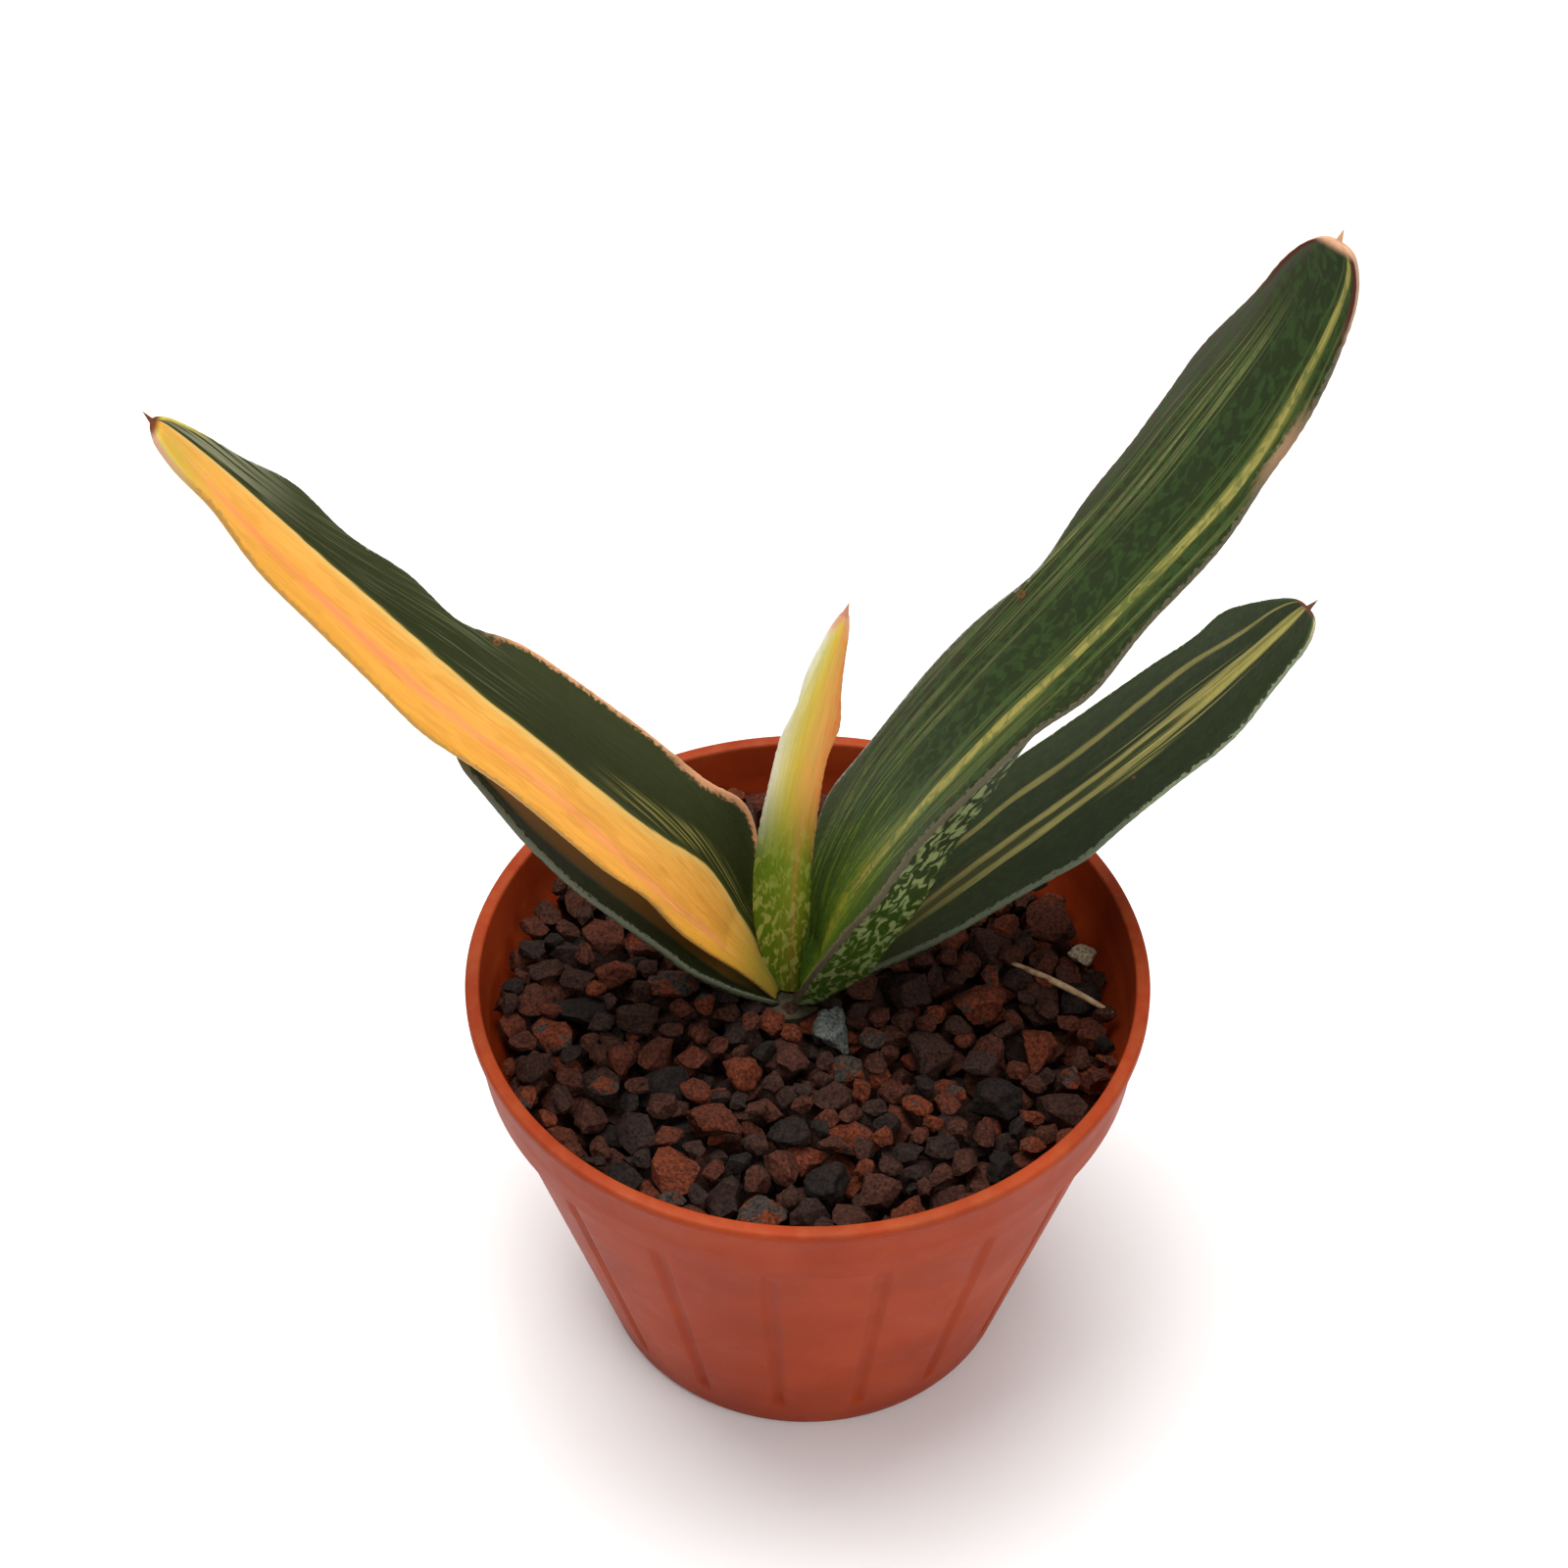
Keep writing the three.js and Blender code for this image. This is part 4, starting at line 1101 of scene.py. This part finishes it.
# %% [markdown]
# Each leaf now gets its own strips. The first leaf is half yellow, with a salmon
# line where red pigment shows through, and half green. In every skin, 0 is the near
# margin and 1 the far one, and a span runs from the base (0) to the tip (1). Young
# tissue at the base fades into the grown leaf's strips.

# %% The left leaves
STILL = ((0, 0.5), (1, 0.5))
left_upper_skin = leaf_skin(
    "variegated_leaf_half_yellow", "leaf_left_upper",
    stops=[(0.0, "#dc9a36"), (0.06, "#e09e3c"), (0.3, "#e69e42"), (0.52, "#e2a44a"),
           (0.585, "#d9b060"), (0.6, "#3b3f1a"), (0.63, "#272c10"), (0.8, "#2c3014"),
           (1.0, "#34391e")],
    young={"stops": [(0.0, "#8f7a2c"), (0.3, "#a88f34"), (0.56, "#958a40"),
                     (0.62, "#343f14"), (1.0, "#3a471c")],
           "from": 0.03, "to": 0.17},
    drift=((0, 0.56), (0.14, 0.455), (0.33, 0.62), (0.5, 0.61), (0.62, 0.55),
           (0.75, 0.445), (0.87, 0.36), (1, 0.4)),
    lines=[
        {"path": ((0, 0.36), (0.8, 0.34), (1, 0.4)), "reach": 0.2, "soft": 0.12,
         "span": (0.93, 1.0), "colour": "#b8a63a", "strength": 0.7},
        {"path": ((0, 0.24), (0.14, 0.18), (0.3, 0.18), (0.45, 0.2), (0.6, 0.22),
                  (0.8, 0.32), (0.92, 0.43), (1, 0.46)),
         "reach": 0.03, "soft": 0.04, "span": (0.12, 0.95), "colour": "#e9925c",
         "strength": 0.8},
        {"path": ((0, 0.3), (0.65, 0.24), (0.8, 0.31), (0.92, 0.42), (1, 0.46)),
         "reach": 0.05, "soft": 0.07, "span": (0.64, 0.9), "colour": "#e07f4e",
         "strength": 0.6}],
    streaks=[
        {"fine": 0.3, "long": 0.09, "cut": 0.5, "across": (0.0, 0.54), "span": (0.0, 0.92),
         "colour": "#cc8a30", "strength": 0.35},
        {"fine": 3.2, "long": 0.04, "cut": 0.5, "across": (0.64, 0.76), "span": (0.1, 0.36),
         "colour": "#8f8448", "strength": 0.6},
        {"fine": 4.0, "long": 0.05, "cut": 0.54, "across": (0.66, 0.95), "span": (0.5, 0.9),
         "colour": "#646a4c", "strength": 0.4},
        # The last streak, pale grey over the tip, is partly silvery streaking and partly a
        # painted sheen.
        {"fine": 2.0, "long": 0.05, "cut": 0.42, "across": (0.64, 1.0), "span": (0.86, 1.0),
         "colour": "#8a8a6a", "strength": 0.75}],
    margins=[{"far": True, "reach": 1.2, "span": (0.04, 0.3), "colour": "#d0936a"},
             {"far": True, "reach": 0.8, "span": (0.3, 0.56), "colour": "#cc9468"},
             {"far": True, "reach": 0.35, "span": (0.56, 1.0), "colour": "#8b8d78"},
             {"far": False, "reach": 0.3, "span": (0.0, 1.0), "colour": "#c09048"}],
    flecks={"face": ("#8a8c4c", 0.0, 0.0), "back": ("#8d9060", 0.45, 0.2)},
    rim={"from": 0.95, "inner": "#c8b44c", "outer": "#d8a888", "spine": "#6a3418"},
    blotch=0.1, scars=0.1)

left_lower_skin = leaf_skin(
    "variegated_leaf_brown_panel", "leaf_left_lower",
    stops=[(0.0, "#1f260c"), (0.2, "#232b0d"), (0.26, "#6a5016"), (0.34, "#805618"),
           (0.62, "#8a601e"), (0.7, "#544816"), (0.78, "#252d10"), (1.0, "#283112")],
    young={"stops": [(0.0, "#222b0e"), (0.5, "#3c3a12"), (1.0, "#2c3812")],
           "from": 0.02, "to": 0.2},
    drift=STILL,
    margins=[{"far": False, "reach": 0.5, "span": (0.0, 1.0), "colour": "#5f6352"},
             {"far": True, "reach": 0.5, "span": (0.0, 1.0), "colour": "#6b6f5a"}],
    flecks={"face": ("#5f6a3c", 0.1, 0.05), "back": ("#7f8a5c", 0.5, 0.2)},
    rim={"from": 0.97, "inner": "#4a4a22", "outer": "#6b5a34", "spine": "#4a2614"},
    rough=0.6)

# %% The right leaves
right_upper_skin = leaf_skin(
    "variegated_leaf_one_stripe", "leaf_right_upper",
    stops=[(0.0, "#252c12"), (0.09, "#243012"), (0.105, "#535a2e"), (0.12, "#243012"),
           (0.19, "#2e3b17"), (0.205, "#8f8746"), (0.26, "#978d4a"), (0.275, "#2e3b16"),
           (0.31, "#232e12"), (0.33, "#434e26"), (0.35, "#233013"), (0.5, "#253017"),
           (0.7, "#283218"), (0.86, "#30351d"), (1.0, "#48483a")],
    young={"stops": [(0.0, "#34500f"), (0.2, "#5a6f12"), (0.28, "#8d8c1c"),
                     (0.38, "#516c12"), (0.7, "#354c10"), (1.0, "#384614")],
           "from": 0.1, "to": 0.34},
    drift=((0, 0.46), (0.12, 0.47), (0.3, 0.49), (0.6, 0.5), (0.8, 0.52), (0.92, 0.54),
           (1, 0.6)),
    streaks=[
        {"fine": 3.6, "long": 0.03, "cut": 0.51, "across": (0.64, 0.95), "span": (0.15, 0.9),
         "colour": "#6f7448", "strength": 0.5},
        {"fine": 1.0, "long": 0.012, "cut": 0.56, "across": (0.7, 0.9), "span": (0.4, 0.9),
         "colour": "#848a50", "strength": 0.6},
        {"fine": 3.6, "long": 0.03, "cut": 0.54, "across": (0.07, 0.4), "span": (0.3, 0.85),
         "colour": "#6c743c", "strength": 0.4},
        {"fine": 1.2, "long": 0.07, "cut": 0.5, "across": (0.18, 0.28), "span": (0.0, 1.0),
         "colour": "#55602c", "strength": 0.55},
        {"fine": 2.4, "long": 0.08, "cut": 0.52, "across": (0.1, 0.9), "span": (0.0, 0.3),
         "colour": "#74882a", "strength": 0.5}],
    margins=[{"far": False, "reach": 0.55, "span": (0.0, 1.0), "colour": "#5d5644"},
             {"far": False, "reach": 1.3, "span": (0.79, 0.85), "colour": "#94765a"},
             {"far": True, "reach": 0.5, "span": (0.0, 0.6), "colour": "#787566"},
             {"far": True, "reach": 0.4, "span": (0.6, 1.0), "colour": "#57392c"}],
    flecks={"face": ("#364f24", 0.5, 0.45), "back": ("#8f9c64", 0.75, 0.3),
            "size": (1.1, 0.55)},
    rim={"from": 0.93, "inner": "#4c241a", "outer": "#b08c74", "spine": "#c99a78"},
    scars=0.1)

right_lower_skin = leaf_skin(
    "variegated_leaf_two_stripes", "leaf_right_lower",
    stops=[(0.0, "#202910"), (0.335, "#1e270f"), (0.35, "#7c7640"), (0.385, "#807844"),
           (0.4, "#2a3014"), (0.445, "#2a3014"), (0.46, "#7a7240"), (0.49, "#7c7442"),
           (0.505, "#1f2710"), (0.715, "#1f2711"), (0.73, "#6f683a"), (0.755, "#6f683a"),
           (0.77, "#212913"), (1.0, "#272f18")],
    young={"stops": [(0.0, "#28300f"), (0.35, "#303612"), (0.4, "#4c4220"),
                     (0.5, "#4c4220"), (0.55, "#28300f"), (1.0, "#283312")],
           "from": 0.02, "to": 0.5},
    drift=((0, 0.5), (0.4, 0.5), (0.6, 0.49), (0.8, 0.45), (1, 0.4)),
    streaks=[
        {"fine": 2.0, "long": 0.03, "cut": 0.55, "across": (0.3, 0.55), "span": (0.6, 1.0),
         "colour": "#9c9450", "strength": 0.7}],
    lines=[
        {"path": ((0, 0.5), (0.85, 0.46), (1, 0.5)), "reach": 0.055, "soft": 0.03,
         "span": (0.76, 1.0), "colour": "#9c9048", "strength": 0.6}],
    margins=[{"far": False, "reach": 0.6, "span": (0.0, 0.6), "colour": "#5d6450"},
             {"far": False, "reach": 0.35, "span": (0.6, 1.0), "colour": "#7d8468"},
             {"far": True, "reach": 0.35, "span": (0.0, 1.0), "colour": "#9a9a78"}],
    flecks={"face": ("#3c451c", 0.3, 0.1), "back": ("#7f8f5c", 0.6, 0.25)},
    rim={"from": 0.97, "inner": "#3c4a26", "outer": "#c4b68c", "spine": "#54301c"},
    scars=0.3)

# %% The young leaf in the middle
centre_skin = leaf_skin(
    "variegated_leaf_young", "leaf_centre",
    stops=[(0.0, "#d9803f"), (0.2, "#e0a050"), (0.4, "#e2b04c"), (0.6, "#d9c04a"),
           (0.8, "#dcd28a"), (1.0, "#e8e6d0")],
    young={"stops": [(0.0, "#546a12"), (0.2, "#7c8a1e"), (0.26, "#a8803a"),
                     (0.32, "#82902a"), (0.6, "#68841a"), (1.0, "#567216")],
           "from": 0.36, "to": 0.64},
    drift=STILL,
    margins=[{"far": False, "reach": 0.25, "span": (0.4, 1.0), "colour": "#d98a62"},
             {"far": True, "reach": 0.25, "span": (0.45, 1.0), "colour": "#dcd9c6"}],
    flecks={"face": ("#b8bc62", 0.8, 0.15), "back": ("#b8bc62", 0.8, 0.1),
            "size": (1.3, 0.5)},
    rim={"from": 0.96, "inner": "#d9a07c", "outer": "#d9a890", "spine": "#c98a70"},
    blotch=0.08)

# %% Make the five leaves
LEAF_SKINS = {
    "leaf_left_upper": left_upper_skin, "leaf_left_lower": left_lower_skin,
    "leaf_right_upper": right_upper_skin, "leaf_right_lower": right_lower_skin,
    "leaf_centre": centre_skin,
}
for name, leaf in LEAVES.items():
    finish_piece(name + "_blade", leaf_mesh(name, leaf), LEAF_SKINS[name], [name])

# %% [markdown]
# ## The dry needle
# A fallen needle lies on the grit. It is a thin rod that bends a little and narrows
# to both ends, so a cylinder with many rings is enough. Dead plant tissue is matt and
# fibrous, without wax, so noise of a millimetre or so gives its colour and its relief.


# %% The needle and its finish
NEEDLE_RADIUS = 0.5
NEEDLE_BEND = 0.5
NEEDLE_RINGS = 24


def dry_needle():
    """A bent tapering rod inside the node's box."""
    low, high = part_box("dry_needle")
    start = Vector((low.x, high.y, (low.z + high.z) / 2))
    end = Vector((high.x, low.y, (low.z + high.z) / 2))
    length = (end - start).length
    bm = bmesh.new()
    bmesh.ops.create_cone(bm, cap_ends=True, segments=10, radius1=NEEDLE_RADIUS * MM,
                          radius2=NEEDLE_RADIUS * MM, depth=length)
    sides = [edge for edge in bm.edges
             if abs(edge.verts[0].co.z - edge.verts[1].co.z) > length / 2]
    bmesh.ops.subdivide_edges(bm, edges=sides, cuts=NEEDLE_RINGS)
    for point in bm.verts:
        share = point.co.z / length + 0.5
        slim = 0.25 + 0.65 * math.sin(math.pi * (0.08 + 0.84 * share)) ** 0.7
        point.co.xy *= slim
        point.co.x += NEEDLE_BEND * MM * math.sin(math.pi * share)
    turn = (end - start).to_track_quat("Z", "X").to_matrix().to_4x4()
    bmesh.ops.transform(bm, verts=bm.verts, matrix=Matrix.Translation((start + end) / 2) @ turn)
    return bm


def plant_fibre(name, stops, grain_size, relief, roughness):
    """Matt plant tissue; the size of its grain and its relief are in millimetres."""
    material, tree, shader = new_material(name)
    place = add(tree, "TexCoord").outputs["Object"]
    fibre = add(tree, "TexNoise", Vector=place, Scale=1 / (grain_size * MM), Detail=5.0)
    colour = fill_ramp(add(tree, "ValToRGB", _0=fibre.outputs["Fac"]), stops)
    tree.links.new(colour, shader.inputs["Base Color"])
    shader.inputs["Roughness"].default_value = roughness
    bump = add(tree, "Bump", Height=fibre.outputs["Fac"], Strength=0.4, Distance=relief * MM)
    tree.links.new(bump.outputs[0], shader.inputs["Normal"])
    return material


needle_fibre = plant_fibre("dried_needle_fibre",
                           [(0.3, "#7d5a3c"), (0.55, "#a98a66"), (0.8, "#c4a886")],
                           1.4, 0.1, 0.75)
finish_piece("fallen_needle", dry_needle(), needle_fibre, ["dry_needle"])

# %% [markdown]
# ## Stem and roots
# The stem and the roots are inside the grit, where nobody sees them. The frame's own
# solids stay, and only get a finish: fibrous bark for one, pale skin for the other.


# %% Finish the hidden pieces
bark = plant_fibre("stem_bark", [(0.3, "#262014"), (0.7, "#413a22")], 1.5, 0.2, 0.8)
root_skin = plant_fibre("root_skin", [(0.3, "#8f7a5c"), (0.7, "#c2ae8c")], 0.8, 0.2, 0.8)
for node, material in (("stem", bark), ("roots", root_skin)):
    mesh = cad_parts[node].data
    mesh.materials.clear()
    mesh.materials.append(material)
    print(node, "refinished")

# %% [markdown]
# ## Measure and finish
# The visual model's box is measured and printed, in millimetres. The visual model has
# to stay inside the frame's box.

# %% Measure the visual box and print it
low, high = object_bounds()
print("visual box, mm:", [round(v / MM, 1) for v in (*low, *high)])
